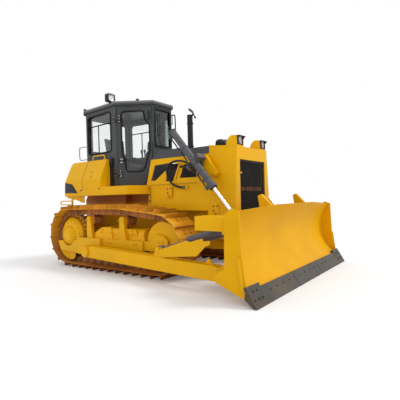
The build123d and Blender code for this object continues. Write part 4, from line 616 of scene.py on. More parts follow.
# Each track frame is a welded box. Its posts clamp the carrier rollers, its
# recoil housing has a bolted cover, and roller ends are capped underneath.
POST_FACE, CARRIER_UP, ROLLER_UP = -1100.0, 885.0, 272.3
bm = bmesh.new()
for ahead in CARRIERS:
    turned(bm, place(ahead, -1042, CARRIER_UP), (0, -1, 0), [(0, 0), (66, 0), (66, 52), (58, 64), (0, 64)], 20)
    beside(bm, oblong((ahead - 78, CARRIER_UP - 10), (ahead + 78, CARRIER_UP + 14)), -1112, 12, 2)
for ahead in range(470, 1976, 301):
    turned(bm, place(ahead, -1026, 272), (0, -1, 0), [(0, 0), (54, 0), (54, 26), (44, 36), (0, 36)], 20)
    turned(bm, place(ahead, -854, 272), (0, 1, 0), [(0, 0), (54, 0), (54, 26), (44, 36), (0, 36)], 20)
beside(bm, [(880, 742), (1760, 742), (1800, 700), (1800, 640), (860, 640), (860, 710)], -1052, 12, 3)
turned(bm, place(2350, -1046, 537), (0, -1, 0), [(0, 0), (70, 0), (70, 20), (50, 34), (0, 34)], 24)
both_sides(bm)
from_bm("track_frame_caps", bm, yellow_enamel, "tractor")
bolts = []
for ahead in CARRIERS:
    bolts += [(place(ahead + by, -1112.5, CARRIER_UP + 2), (0, -1, 0), (1, 0, 0), 0.9) for by in (-64, 64)]
bolts += [(place(ahead, -1064.5, up), (0, -1, 0), (1, 0, 0), 0.8) for ahead in (920, 1180, 1440, 1700) for up in (665, 718)]
bolts += [(place(ahead, POST_FACE - 0.5, up), (0, -1, 0), (1, 0, 0), 1.0)
          for ahead, up in ((-120, 420), (-60, 420), (560, 520), (620, 520), (1150, 500), (1210, 500), (1760, 500), (1820, 500))]
bolts += ring_spots(place(2350, -1080.5, 537), 40, 4, -1, 45, 0.8)
repeat("track_frame_bolts", hex_head(11, 9), other_side(bolts), yellow_enamel, "tractor")

# The hull's side plates carry bolted inspection plates; the red-brown on the belly between
# the deck and the track is painted shade, and the seams are raised welds, but for the long strip along the hull's top
# edge, which is a painted shadow.
bm = bmesh.new()
for ahead, up in ((2093, 1340), (3033, 1040)):
    beside(bm, oblong((ahead - 62, up - 95), (ahead + 62, up + 95)), -568, 14, 3)
both_sides(bm)
from_bm("inspection_plates", bm, yellow_enamel, "tractor")
bolts = [(place(ahead + dx, -568.5, up + dz), (0, -1, 0), (1, 0, 0), 0.9)
         for ahead, up in ((2093, 1340), (3033, 1040)) for dx, dz in ((-36, 60), (36, 60), (0, -60), (-36, -10))]
repeat("side_plate_bolts", hex_head(11, 9), other_side(bolts), rusted_steel, "tractor")

# The hull's side plates are bolted up under the engine bay and behind the
# deck's end; the joints and the strut between the side windows show as dark lines.
# The long strip along the hull's top edge is a painted shadow of the step under the hood side.
HULL_FACE, BAY_FACE = -560.0, -526.0
bm = bmesh.new()
# Painted shadow: this dark strip stands for the shade of the step where the hood side stands in from the hull's top
# edge.
beside(bm, oblong((1652, 1470), (2676, 1475)), HULL_FACE - 1, 3, 0)
beside(bm, oblong((1636, 1150), (1643, 1475)), HULL_FACE - 1, 3, 0)
beside(bm, [(2206, 1545), (2214, 1545), (2318, 1812), (2310, 1812)], BAY_FACE - 1, 3, 0)
both_sides(bm)
seam_and_shadow_brown = finish_of("seam_and_shadow_brown", (0.10, 0.045, 0.012), 0.8, grain=120.0, wear=0.0, dust=0.2)
from_bm("hull_seams", bm, seam_and_shadow_brown, "tractor")
bolts = [(place(1615, HULL_FACE - 0.5, up), (0, -1, 0), (1, 0, 0), 0.9) for up in (1200, 1310, 1425)]
repeat("hull_end_bolts", hex_head(11, 9), other_side(bolts), rusted_steel, "tractor")

# The cab's windows and doors are sealed with black rubber pushed over the
# edge of the steel; each seal is one closed ring.
seal_rubber = finish_of("seal_rubber", (0.012, 0.012, 0.013), 0.7, grain=400.0, depth=0.15, wear=0.0, dust=0.15)


def tube_mesh(points, radius, closed=False, smooth=False, sides=3, aim=None):
    """A round tube along points, as a plain mesh."""
    line = bpy.data.curves.new("tube", "CURVE")
    line.dimensions = "3D"
    line.bevel_depth = radius / 1000
    line.bevel_resolution = sides
    line.use_fill_caps = not closed
    spline = line.splines.new("NURBS" if smooth else "POLY")
    spline.points.add(len(points) - 1)
    for point, where in zip(spline.points, points):
        point.co = (*where, 1)
    spline.use_cyclic_u = closed
    if smooth:
        spline.order_u = 3
        spline.use_endpoint_u = not closed
        line.resolution_u = 8
    holder = bpy.data.objects.new("tube", line)
    scene.collection.objects.link(holder)
    bpy.context.view_layer.update()
    mesh = bpy.data.meshes.new_from_object(holder.evaluated_get(bpy.context.evaluated_depsgraph_get()))
    bpy.data.objects.remove(holder)
    return mesh


def tubes(name, runs, radius, material, body, closed=False, smooth=False, mirror=False, stands_for=(), sides=3):
    """Several tubes as one piece."""
    bm = bmesh.new()
    for points in runs:
        bm.from_mesh(tube_mesh(points, radius, closed, smooth, sides))
    if mirror:
        both_sides(bm)
    return from_bm(name, bm, material, body, stands_for, smooth=50)


REAR_CORNER, HIP_CORNER, NOSE_CORNER = Vector((-110, -578)), Vector((875, -650)), Vector((1464, -253))


def on_wall(start, end, along, up, out=0.0):
    """A point on one of the cab's upright walls, in mm along it, up and outward."""
    way = (end - start).normalized()
    spot = start + way * along + Vector((way.y, -way.x)) * out
    return place(spot.x, spot.y, up)


DOOR_PANE = [(110, 2060), (163, 2010), (170, 1800), (222, 1752), (470, 1752), (520, 1800), (632, 2150), (632, 2600),
             (590, 2680), (550, 2700), (530, 2850), (500, 2872), (150, 2872), (110, 2830)]
SIDE_PANE = [(70, 2190), (110, 2150), (800, 2150), (840, 2190), (840, 2860), (800, 2900), (110, 2900), (70, 2860)]
FRONT_PANE = [(50, 2230), (456, 2230), (456, 2910), (50, 2910)]
REAR_PANE = [(120, 2230), (1036, 2230), (1036, 2880), (120, 2880)]


def rounded(outline, reach=34):
    """An outline with each corner cut by a short curve."""
    line = []
    for index, corner in enumerate(outline):
        corner = Vector(corner)
        for near in (Vector(outline[index - 1]), Vector(outline[(index + 1) % len(outline)])):
            way = near - corner
            line.append(corner + way.normalized() * min(reach, way.length * 0.45))
        before, after = line[-2], line[-1]
        line[-1:] = [before.lerp(corner, 0.55).lerp(corner.lerp(after, 0.45), 0.5), after]
    return line


hull_walls = [(REAR_CORNER, HIP_CORNER, SIDE_PANE)]
runs = [[on_wall(a, b, s, up, 2) for s, up in rounded(pane)] for a, b, pane in hull_walls]
tubes("side_window_seals", runs, 15, seal_rubber, "tractor", closed=True, mirror=True)
nose_left, rear_left = Vector((1464, 253)), Vector((-110, 578))
runs = [[on_wall(NOSE_CORNER, nose_left, s, up, 2) for s, up in rounded(FRONT_PANE)],
        [on_wall(rear_left, REAR_CORNER, s, up, 2) for s, up in rounded(REAR_PANE)]]
tubes("end_window_seals", runs, 14, seal_rubber, "tractor", closed=True)
for side, flip in (("right", 1), ("left", -1)):
    ring = [on_wall(HIP_CORNER, NOSE_CORNER, s, up, 1) for s, up in rounded(DOOR_PANE, 26)]
    ring = [Vector((p.x, p.y * flip, p.z)) for p in ring]
    tubes(f"door_seal_{side}", [ring], 14, seal_rubber, f"cab_door_{side}", closed=True)

# Side windows slide in two panes: a mullion and a rail of black aluminium.
runs = [[on_wall(REAR_CORNER, HIP_CORNER, 70, 2700, -25), on_wall(REAR_CORNER, HIP_CORNER, 840, 2700, -25)],
        [on_wall(REAR_CORNER, HIP_CORNER, 400, 2150, -25), on_wall(REAR_CORNER, HIP_CORNER, 400, 2700, -25)]]
tubes("side_window_bars", runs, 12, seal_rubber, "tractor", mirror=True)

# Door furniture: the bolts of each door's pressed catch and of its hinges; the catch and the grab rail come with the
# cab's trim below.
for side, flip in (("right", 1), ("left", -1)):
    spots = []
    for up in (2785, 2734, 2683, 1765, 1716, 1667):
        spots.append(on_wall(HIP_CORNER, NOSE_CORNER, 79, up, 20.8))
    for s, up in ((88, 1985), (112, 1985), (88, 1925), (112, 1925)):
        spots.append(on_wall(HIP_CORNER, NOSE_CORNER, s, up, 26))
    way = (NOSE_CORNER - HIP_CORNER).normalized()
    aim = (way.y, -way.x * flip, 0)
    aim = Vector((way.y, -way.x, 0)).normalized()
    aims = Vector((aim.x, aim.y * flip, 0))
    bright = [(Vector((p.x, p.y * flip, p.z)), aims, (0, 0, 1), 0.6) for p in spots]
    repeat(f"door_bolts_{side}", hex_head(11, 7), bright, chrome, f"cab_door_{side}")

# The radiator sits behind an expanded steel mesh in a bolted frame; the core's
# fins and two rusty cross bars show through it.
GRILLE_FACE, MESH_HALF, MESH_FOOT, MESH_TOP = 3366.0, 376.0, 868.0, 1777.0
MESH_STEP, MESH_LEAN = 40.0, 0.62
bm = bmesh.new()
for lean in (-MESH_LEAN, MESH_LEAN):
    start = min(MESH_FOOT - lean * MESH_HALF, MESH_FOOT + lean * MESH_HALF)
    end = max(MESH_TOP - lean * MESH_HALF, MESH_TOP + lean * MESH_HALF)
    rise = start + MESH_STEP / 2
    while rise < end:
        lefts = sorted(((MESH_FOOT - rise) / lean, (MESH_TOP - rise) / lean))
        low, high = max(-MESH_HALF, lefts[0]), min(MESH_HALF, lefts[1])
        if high - low > 6:
            half = Vector((-lean, 1)).normalized() * 3.6
            ends = [Vector((left, lean * left + rise)) for left in (low, high)]
            facing(bm, [ends[0] - half, ends[1] - half, ends[1] + half, ends[0] + half], GRILLE_FACE + (1.5 if lean > 0 else 0), 3, 0)
        rise += MESH_STEP
for low, high in (((-405, 840), (-372, 1805)), ((372, 840), (405, 1805)), ((-372, 840), (372, 872)), ((-372, 1773), (372, 1805))):
    facing(bm, oblong(low, high), GRILLE_FACE, 13, 3)
mesh_steel = finish_of("mesh_steel", (0.036, 0.034, 0.031), 0.6, grain=200.0, wear=0.2, dust=0.08, gloss=0.12)
from_bm("grille_mesh", bm, mesh_steel, "tractor", ("radiator_grille",))
bm = bmesh.new()
facing(bm, oblong((-418, 1590), (-352, 1612)), GRILLE_FACE + 20, 8, 3)
facing(bm, oblong((-440, 1570), (-414, 1632)), 3389, 6, 2)
from_bm("grille_latch", bm, yellow_enamel, "tractor")
bm = bmesh.new()
for low, high in ((-425, -190), (-150, 90), (130, 425)):
    facing(bm, oblong((low, 1325), (high, 1385)), 3330, 14, 2)
from_bm("grille_cross_bars", bm, rusted_steel, "tractor")
bm = bmesh.new()
prism(bm, [local(0, -1.2, z) for z in (640, 1790)] + [local(0, 1.2, z) for z in (1790, 640)], local(8, 0, 0))
core_black = finish_of("core_black", (0.006, 0.006, 0.006), 0.8, grain=200.0, wear=0.0, dust=0.1)
dress(core_black, "radiator_core")
fins = [(place(3290, left, 0), (0, 0, 1), (1, 0, 0)) for left in range(-420, 421, 14)]
repeat("core_fins", bm, fins, core_black, "tractor")
bolts = [(place(3379.5, left, up), (1, 0, 0), (0, 1, 0), 0.7) for left in (-388, 388) for up in (880, 1180, 1480, 1765)]
bolts += [(place(3379.5, left, up), (1, 0, 0), (0, 1, 0), 0.7) for left in (-190, 190) for up in (856, 1789)]
repeat("grille_bolts", hex_head(11, 8), bolts, graphite_enamel, "tractor")

# Head lamps stand on the guard in yellow pods. Each has a black bezel and a
# visor, a bowl with its bulb, painted near-white as a painted reflection in place of polished metal, and a clear pane.
# The roof lamps are black cases on brackets, built the same way.
LAMP_LEFT, LAMP_UP, LAMP_FACE = -365.0, 2098.0, 3379.0
bm = bmesh.new()
for low, high in (((-88, -71), (-74, 66)), ((74, -71), (88, 66)), ((-74, -71), (74, -59)), ((-74, 58), (74, 66))):
    facing(bm, [(LAMP_LEFT + y, LAMP_UP + z) for y, z in oblong(low, high)], LAMP_FACE - 4, 12, 2)
beside(bm, [(LAMP_FACE, 2157), (LAMP_FACE, 2165), (LAMP_FACE + 52, 2157), (LAMP_FACE + 52, 2151)], LAMP_LEFT - 90, 180, 2)
for left in (-90, 84):
    beside(bm, [(LAMP_FACE, 2158), (LAMP_FACE + 44, 2153), (LAMP_FACE + 6, 2112), (LAMP_FACE, 2112)], LAMP_LEFT + left, 6, 1.5)
both_sides(bm)
from_bm("head_lamp_bezels", bm, satin_black, "tractor")
ROOF_LAMP_FACE, ROOF_LAMP_LEFT, ROOF_LAMP_UP = 790.0, -650.0, 3144.0
bm = bmesh.new()
for ahead, left, up, wide, deep in ((LAMP_FACE - 40, LAMP_LEFT, LAMP_UP, 54, 34), (ROOF_LAMP_FACE - 19.5, ROOF_LAMP_LEFT, ROOF_LAMP_UP, 58, 9)):
    bowl = [(wide, deep), (wide * 0.93, deep * 0.62), (wide * 0.72, deep * 0.28), (wide * 0.4, deep * 0.06), (0, 0)]
    turned(bm, place(ahead, left, up), (1, 0, 0), bowl + [(0, -0.6), (wide * 0.42, -0.6), (wide * 0.95, deep * 0.5), (wide + 1, deep)], 28)
    facing(bm, [(left + y, up + z) for y, z in oblong((-72, -57), (72, 57))], ahead - 0.4, 0.6, 0)
    turned(bm, place(ahead + 0.5, left, up), (1, 0, 0), [(0, 0), (9, 0), (9, deep * 0.5), (6, deep * 0.8), (0, deep * 0.85)], 12)
both_sides(bm)
# The bowls, their back plates and bulbs are near-white paint in place of polished metal: a painted reflection.
lamp_bowl_painted_reflection = finish_of("lamp_bowl_painted_reflection", (0.90, 0.90, 0.88), 0.3, metal=0.1, drift=0.0, grain=600.0, depth=0.01, wear=0.0, dust=0.0, gloss=0.5)
from_bm("lamp_reflectors", bm, lamp_bowl_painted_reflection, "tractor", ("lamp_lenses",))
pane_glass = clear_glass("lamp_pane", (0.96, 0.97, 0.97))
bm = bmesh.new()
facing(bm, [(LAMP_LEFT + y, LAMP_UP + z) for y, z in oblong((-74, -59), (74, 59))], LAMP_FACE - 5, 4, 1)
facing(bm, [(ROOF_LAMP_LEFT + y, ROOF_LAMP_UP + z) for y, z in oblong((-71, -61), (71, 61))], ROOF_LAMP_FACE - 7, 4, 1)
both_sides(bm)
from_bm("lamp_panes", bm, pane_glass, "tractor", ("lamp_lenses",))
bm = bmesh.new()
for left in (-738, -566):
    beside(bm, [(725, 3060), (760, 3060), (764, 3150), (758, 3165), (738, 3165), (725, 3150)], left, 5, 1.5)
lying(bm, [(722, -738), (765, -738), (765, -561), (722, -561)], 3060, 5, 1.5)
facing(bm, oblong((-594, 3102), (-482, 3068)), -158, 8, 3)
both_sides(bm)
from_bm("roof_lamp_brackets", bm, satin_black, "tractor")

# The blade is one weldment of rolled plate. The plates of its lift eyes are
# ground flush with the moldboard's face where they pass through it.
blade_enamel = finish_of("blade_enamel", (0.78, 0.395, 0.0008), 0.42, coat=0.0, dust=0.12, wear=0.3, gloss=0.08)
LIFT_LEFT, EYE_REACH = 0.750, 0.070
rolled = nodes["blade"].data.copy()
rolled.name = "blade_plate"
for vert in rolled.vertices:
    if abs(abs(vert.co.y) - LIFT_LEFT) < EYE_REACH and 0.60 < vert.co.z < 0.74:
        found, face, _, _ = nodes["blade"].ray_cast(Vector((4, 0, vert.co.z)), Vector((-1, 0, 0)))
        if found and vert.co.x > face.x:
            vert.co.x = face.x
rolled.materials.clear()
rolled.materials.append(blade_enamel)
blade_plate = bpy.data.objects.new("blade_plate", rolled)
scene.collection.objects.link(blade_plate)
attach(blade_plate, "blade_assembly")
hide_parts("blade")

# The blade is bolted up at its foot: two thick end bits with five plough bolts
# each, and three edge segments between them. Wear strips are welded to the
# end plates.
EDGE_TIP = 4328.0
bit_way, bit_out = Vector((-0.5164, 0, 0.8562)), Vector((0.8562, 0, 0.5164))
edge_way, edge_out = Vector((-0.541, 0, 0.841)), Vector((0.841, 0, 0.541))


def edge_spot(way, out, up, left, size):
    """A bolt's place on the sloping face of the edge."""
    return (place(EDGE_TIP, left, 5) + way * up / 1000 + out * 0.0004, tuple(out), (0, 1, 0), size)


bm = bmesh.new()
turned(bm, local(0, 0, 0), (0, 0, 1), [(0, 0), (17, 0), (17, 1.5), (13, 6), (6, 8), (0, 8)], 16)
bolts = [edge_spot(bit_way, bit_out, 95, 1694 - gap, 1.0) for gap in (55, 145, 235)]
bolts += [edge_spot(bit_way, bit_out, 195, 1694 - gap, 1.0) for gap in (100, 190)]
bolts += [edge_spot(edge_way, edge_out, 140, left, 0.8) for left in range(100, 1394, 185)]
edge_bolt_steel = finish_of("edge_bolt_steel", (0.022, 0.02, 0.018), 0.45, metal=0.4, grain=90.0, wear=0.6, dust=0.2)
repeat("edge_bolts", bm, other_side(bolts), edge_bolt_steel, "blade_assembly")
bm = bmesh.new()
foot, head = place(EDGE_TIP, 0, 9) + edge_out * 0.0002, place(EDGE_TIP, 0, 5) + edge_way * 0.2225 + edge_out * 0.0002
for left in (-465, 465):
    across_by = Vector((0, left / 1000, 0))
    width = Vector((0, 0.005, 0))
    prism(bm, [foot + across_by, foot + across_by + width, head + across_by + width, head + across_by], edge_out * 0.0008)
from_bm("edge_joints", bm, satin_black, "blade_assembly")
bm = bmesh.new()
beside(bm, [(4122, 545), (4164, 180), (4118, 180), (4080, 545)], -1681, 13, 2)
both_sides(bm)
from_bm("end_plate_strips", bm, yellow_enamel, "blade_assembly")

# The cab's trim: black frame round the front window, hinge leaves, the latch
# and pull bar of each door, grab rails of bent tube, a wiper, and the corner
# box and strip that hide the wiring at the rear post.
FRONT_LEFT = Vector((1464, 253))


def wall_plate(bm, start, end, outline, out, thick, soften=2.0):
    """A plate that lies on one of the cab's walls, drawn along the wall and up."""
    way = (end - start).normalized()
    away = Vector((way.y, -way.x, 0))
    prism(bm, [on_wall(start, end, s, up, out) for s, up in outline], away * thick / 1000, soften)


bm = bmesh.new()
for low, high in (((14, 2190), (48, 2950)), ((458, 2190), (492, 2950)), ((48, 2190), (458, 2228)), ((48, 2912), (458, 2950))):
    wall_plate(bm, NOSE_CORNER, FRONT_LEFT, oblong(low, high), -1, 7)
wall_plate(bm, REAR_CORNER, HIP_CORNER, oblong((838, 1500), (905, 1880)), -1, 7)
wall_plate(bm, REAR_CORNER, HIP_CORNER, oblong((822, 1878), (900, 2020)), -1, 50, 6)
from_bm("cab_trim", bm, satin_black, "tractor")
bm = bmesh.new()
for up in (1650, 2668):
    wall_plate(bm, REAR_CORNER, HIP_CORNER, oblong((926, up), (984, up + 132)), -1, 9)
both_sides(bm)
from_bm("hinge_leaves", bm, satin_black, "tractor")
post_way = (HIP_CORNER - REAR_CORNER).normalized()
post_aim = (post_way.y, -post_way.x, 0)
spots = [(on_wall(REAR_CORNER, HIP_CORNER, 948, up, 7.8), post_aim, (0, 0, 1), 0.6) for up in (2772, 2696, 1754, 1678)]
repeat("hinge_bolts", hex_head(11, 7), other_side(spots), chrome, "tractor")
wiper = [on_wall(NOSE_CORNER, FRONT_LEFT, 253, 2262, 12), on_wall(NOSE_CORNER, FRONT_LEFT, 253, 2262, 34),
         on_wall(NOSE_CORNER, FRONT_LEFT, 150, 2620, 26)]
blade_run = [on_wall(NOSE_CORNER, FRONT_LEFT, 140, 2400, 16), on_wall(NOSE_CORNER, FRONT_LEFT, 160, 2850, 16)]
tubes("front_wiper", [wiper, blade_run], 6, satin_black, "tractor")
galvanised = finish_of("galvanised", (0.50, 0.51, 0.51), 0.42, metal=0.35, drift=0.08, grain=160.0, wear=0.1, dust=0.15)
rail = [place(-112, -566, 2325), place(-300, -572, 2333), place(-372, -572, 2330), place(-372, -572, 2070), place(-300, -572, 2067),
        place(-112, -566, 2072)]
tubes("rear_grab_rail", [rail], 12, galvanised, "tractor", smooth=True, sides=4)
rail = [place(1462, 238, 2860), place(1530, 262, 2868), place(1548, 268, 2840), place(1548, 268, 2440), place(1530, 262, 2410),
        place(1462, 238, 2418)]
tubes("front_grab_rail", [rail], 12, satin_black, "tractor", smooth=True, sides=4)
for side, flip in (("right", 1), ("left", -1)):
    bm = bmesh.new()
    for up in (1650, 2668):
        wall_plate(bm, HIP_CORNER, NOSE_CORNER, oblong((58, up), (100, up + 132)), -1, 22)
    wall_plate(bm, HIP_CORNER, NOSE_CORNER, oblong((626, 2695), (644, 2865)), 30, 12, 4)
    for up in (2716, 2846):
        wall_plate(bm, HIP_CORNER, NOSE_CORNER, oblong((628, up - 8), (642, up + 8)), 10, 24)
    centre = on_wall(HIP_CORNER, NOSE_CORNER, 100, 1955, 8)
    way = (NOSE_CORNER - HIP_CORNER).normalized()
    turned(bm, centre, (way.y, -way.x, 0), [(0, 0), (48, 0), (48, 12), (40, 18), (0, 18)], 24)
    for vert in bm.verts:
        vert.co.y *= flip
    if flip < 0:
        bmesh.ops.reverse_faces(bm, faces=bm.faces[:])
    from_bm(f"door_furniture_{side}", bm, satin_black, f"cab_door_{side}")

# The roof has lifting eyes and a beacon stub, and the deck
# has chequered step strips outside each door.
bm = bmesh.new()
turned(bm, place(1200, -385, 3062), (0, 0, 1), [(0, -2), (42, -2), (42, 10), (30, 14), (30, 34), (24, 42), (0, 42)], 24)
for ahead, left in ((40, -420), (40, 420), (1180, -240), (1180, 240)):
    lying(bm, [(ahead - 30, left - 30), (ahead + 30, left - 30), (ahead + 30, left + 30), (ahead - 30, left + 30)], 3061, 8, 2)
    beside(bm, [(ahead - 24, 3068), (ahead + 24, 3068), (ahead + 14, 3108), (ahead - 14, 3108)], left - 5, 10, 3)
from_bm("roof_fittings", bm, cab_enamel, "tractor")
strip = bmesh.new()
prism(strip, [local(-150, -4, 0), local(150, -4, 0), local(140, 0, 3), local(-140, 0, 3)], local(0, 8, 0))
spots = []
for row in range(9):
    for ahead in (1000, 1330):
        spots.append((place(ahead, -690 - row * 18 if ahead < 1200 else -600 - row * 18, 1480), (0, 0, 1), (1, 0, 0)))
repeat("step_treads", strip, other_side(spots), satin_black, "tractor")

# The fuel tank and the box ahead of it are folded plate: a dark panel at the
# rear, a seam and latches on the side, and a filler cap and handle on top.
SIDE_FACE = -900.0
bm = bmesh.new()
beside(bm, [(-414, 1600), (-174, 1563), (0, 1382), (-426, 1392)], SIDE_FACE - 3, 4, 1)
beside(bm, oblong((146, 1425), (152, 1631)), SIDE_FACE - 2, 3, 0)


def on_slope(ahead, up, out=0.0):
    """A point on the sloping upper side of the tank, in mm off its surface."""
    return place(ahead, SIDE_FACE + (up - 1630) * 160 / 370 - out * 0.918, up + out * 0.397)


for ahead, up, wide, high in ((146, 1630, 6, 368), (388, 1664, 44, 10), (388, 1756, 44, 10), (396, 1690, 28, 8)):
    corners = [(ahead, up), (ahead + wide, up), (ahead + wide, up + high), (ahead, up + high)]
    prism(bm, [on_slope(a, b, -0.5) for a, b in corners], on_slope(0, 1630, 2.5) - on_slope(0, 1630, 0))
both_sides(bm)
from_bm("tank_panels", bm, satin_black, "tractor")
bm = bmesh.new()
turned(bm, place(-230, 420, 1999), (0, 0, 1), [(0, 0), (74, 0), (74, 16), (62, 20), (62, 44), (54, 52), (0, 52)], 28)
lying(bm, [(-252, 380), (-208, 380), (-208, 460), (-252, 460)], 2048, 12, 4)
turned(bm, place(-230, -420, 1999), (0, 0, 1), [(0, 0), (46, 0), (46, 12), (34, 18), (0, 18)], 24)
from_bm("tank_caps", bm, satin_black, "tractor")
bm = bmesh.new()
for ahead in (250, 600):
    turned(bm, place(ahead, -700, 1999.5), (0, 0, 1), [(0, 0), (26, 0), (26, 6), (16, 10), (0, 10)], 20)
for up, ahead, wide in ((1992, 190, 470),):
    beside(bm, oblong((ahead, up), (ahead + wide, up + 10)), -742, 6, 2)
both_sides(bm)
from_bm("box_fittings", bm, yellow_enamel, "tractor")
bolts = [(place(ahead, SIDE_FACE - 0.5, up), (0, -1, 0), (1, 0, 0), 1.0)
         for ahead, up in ((102, 1433), (665, 1452))]
bolts += [(place(ahead, -560.5, 1415), (0, -1, 0), (1, 0, 0), 0.9) for ahead in range(1450, 1560, 45)]
repeat("deck_bolts", hex_head(11, 8), other_side(bolts), rusted_steel, "tractor")

# A bent tube step hangs behind each tank from a curved bracket plate.
bm = bmesh.new()
beside(bm, [(-420, 1378), (150, 1378), (150, 1188), (60, 1200), (-20, 1224), (-120, 1250), (-250, 1266), (-420, 1296)], -862, 12, 3)
beside(bm, [(-262, 1300), (-205, 1300), (-212, 1142), (-250, 1142)], -874, 12, 3)
both_sides(bm)
from_bm("step_brackets", bm, yellow_enamel, "tractor")
tread = [place(ahead, -884, up) for ahead, up in rounded([(-611, 1160), (-222, 1160), (-222, 1232), (-611, 1232)], 30)]
tubes("rear_steps", [tread], 11, yellow_enamel, "tractor", closed=True, mirror=True, sides=3)

# Each lift cylinder is a drawn tube. A steel pipe runs along it in two clamps
# between its port blocks, and its gland is held by a ring of bolts.
PIVOT, ROD_PIN = Vector((2796, -750, 1781)), Vector((3720, -750, 683))
down_way = (ROD_PIN - PIVOT).normalized()
top_way = Vector((-down_way.z, 0, down_way.x))


def on_barrel(along, out, aside):
    """A point along a lift cylinder, out over its top and aside to the right."""
    spot = PIVOT + down_way * along + top_way * out + Vector((0, -aside, 0))
    return place(*spot)


def band(bm, along, inner, outer, width):
    """A clamp band round the barrel."""
    turned(bm, on_barrel(along, 0, 0), down_way, [(inner, 0), (outer, 0), (outer, width), (inner, width), (inner, 0)], 28)


cylinder_bits = {}
bm = bmesh.new()
for along in (-310, 180, 330):
    band(bm, along, 54, 60, 26)
    corners = [on_barrel(along + a, b, 18) for a, b in ((0, -50), (26, -50), (26, -90), (0, -90))]
    prism(bm, corners, Vector((0, -0.026, 0)), 4)
for along in (-650, 436):
    corners = [on_barrel(along + a, b, 8) for a, b in ((0, -46), (52, -46), (52, -100), (0, -100))]
    prism(bm, corners, Vector((0, -0.046, 0)), 5)
band(bm, -684, 0, 64, 20)
band(bm, 505, 40, 63, 24)
cylinder_bits["cylinder_clamps"] = (bm, graphite_enamel)
pipe = [on_barrel(-620, -78, 31), on_barrel(-180, -78, 31), on_barrel(-110, -78, 31), on_barrel(-70, -62, 86), on_barrel(-40, -62, 88),
        on_barrel(40, -62, 88), on_barrel(70, -62, 86), on_barrel(110, -78, 31), on_barrel(180, -78, 31), on_barrel(450, -78, 31)]
bm = bmesh.new()
bm.from_mesh(tube_mesh(pipe, 11, smooth=True, sides=3))
cylinder_bits["cylinder_pipe"] = (bm, satin_black)
for name, (bm, finish) in cylinder_bits.items():
    mesh = bpy.data.meshes.new(name)
    bm.to_mesh(mesh)
    copy = bm.copy()
    bm.free()
    as_piece(name + "_right", mesh, finish, "barrel_right")
    for vert in copy.verts:
        vert.co.y = -vert.co.y
    bmesh.ops.reverse_faces(copy, faces=copy.faces[:])
    from_bm(name + "_left", copy, finish, "barrel_left")
for side, flip in (("right", 1), ("left", -1)):
    spots = []
    for index in range(8):
        angle = math.tau * (index + 0.5) / 8
        where = on_barrel(529.5, 49 * math.cos(angle), 49 * math.sin(angle))
        spots.append((Vector((where.x, where.y * flip, where.z)), tuple(down_way), (0, 1, 0), 0.62))
    for out in (-100, 100):
        for along in (-28, 28):
            where = on_barrel(along, out, 66.5)
            spots.append((Vector((where.x, where.y * flip, where.z)), (0, -flip, 0), (1, 0, 0), 0.8))
    repeat(f"cylinder_bolts_{side}", hex_head(11, 9), spots, satin_black, f"barrel_{side}")

# Hydraulic fittings where the hoses leave the hull and reach the yoke, with
# a bent steel pipe between the two valve ports.
bm = bmesh.new()
turned(bm, place(2440, -560, 1410), (-1, 0, 0), [(0, -4), (27, -4), (27, 26), (22, 30), (22, 52), (18.5, 56), (0, 56)], 6)
turned(bm, place(2672, -580, 1781), (-1, 0, 0), [(0, -6), (27, -6), (27, 26), (22, 30), (22, 50), (18.5, 54), (0, 54)], 6)
both_sides(bm)
from_bm("hose_fittings", bm, graphite_enamel, "tractor")
pipe = [place(2335, -520, 1750), place(2350, -590, 1752), place(2440, -596, 1752), place(2560, -600, 1690), place(2690, -596, 1616),
        place(2700, -590, 1610), place(2704, -540, 1606)]
tubes("valve_pipe", [pipe], 17, satin_black, "tractor", smooth=True, mirror=True, sides=4)

# The exhaust pipe has two band clamps; the intake pre-cleaner has a band at its foot
# and a louvred skirt under its dome.
bm = bmesh.new()
for up in (2150, 2560):
    turned(bm, place(2128, 0, up), (0, 0, 1), [(49, 0), (56, 0), (56, 24), (49, 24), (49, 0)], 28)
    beside(bm, oblong((2180, up + 2), (2200, up + 22)), -10, 20, 3)
turned(bm, place(2776, 0, 2070), (0, 0, 1), [(83, 0), (90, 0), (90, 16), (83, 16), (83, 0)], 32)
from_bm("exhaust_clamps", bm, satin_black, "tractor")
louvre = bmesh.new()
prism(louvre, [local(0, -2, -24), local(0, 2, -24), local(0, 2, 24), local(0, -2, 24)], local(5, 0, 0))
spots = []
for index in range(28):
    angle = math.tau * index / 28
    out = Vector((math.cos(angle), math.sin(angle), 0))
    spots.append((place(2776, 0, 2124) + out * 0.0835, (0, 0, 1), tuple(out)))
repeat("cleaner_louvres", louvre, spots, satin_black, "tractor")

# The push arms pivot on the track frames' trunnions under bolted caps and are
# pinned to the blade's brackets; the pins are kept in by washers.
bm = bmesh.new()
turned(bm, place(850, -1371, 365), (0, -1, 0), [(0, 0), (78, 0), (78, 10), (66, 16), (30, 16), (30, 10), (0, 10)], 28)
turned(bm, place(3680, -1411, 250), (0, -1, 0), [(0, 0), (50, 0), (50, 8), (36, 8), (36, 16), (0, 16)], 28)
turned(bm, place(2560, -1371, 500), (0, -1, 0), [(0, 0), (38, 0), (38, 10), (30, 14), (0, 14)], 24)
both_sides(bm)
from_bm("arm_pin_caps", bm, yellow_enamel, "blade_assembly")
bolts = ring_spots(place(850, -1380.5, 365), 66, 6, -1, 15, 0.7) + ring_spots(place(3680, -1418.5, 250), 43, 3, -1, 30, 0.6)
bolts += [(place(ahead, -1372.5, up), (0, -1, 0), (1, 0, 0), 0.9) for ahead, up in ((780, 440), (925, 440), (780, 292), (925, 292))]
repeat("arm_bolts", hex_head(11, 8), other_side(bolts), yellow_enamel, "blade_assembly")

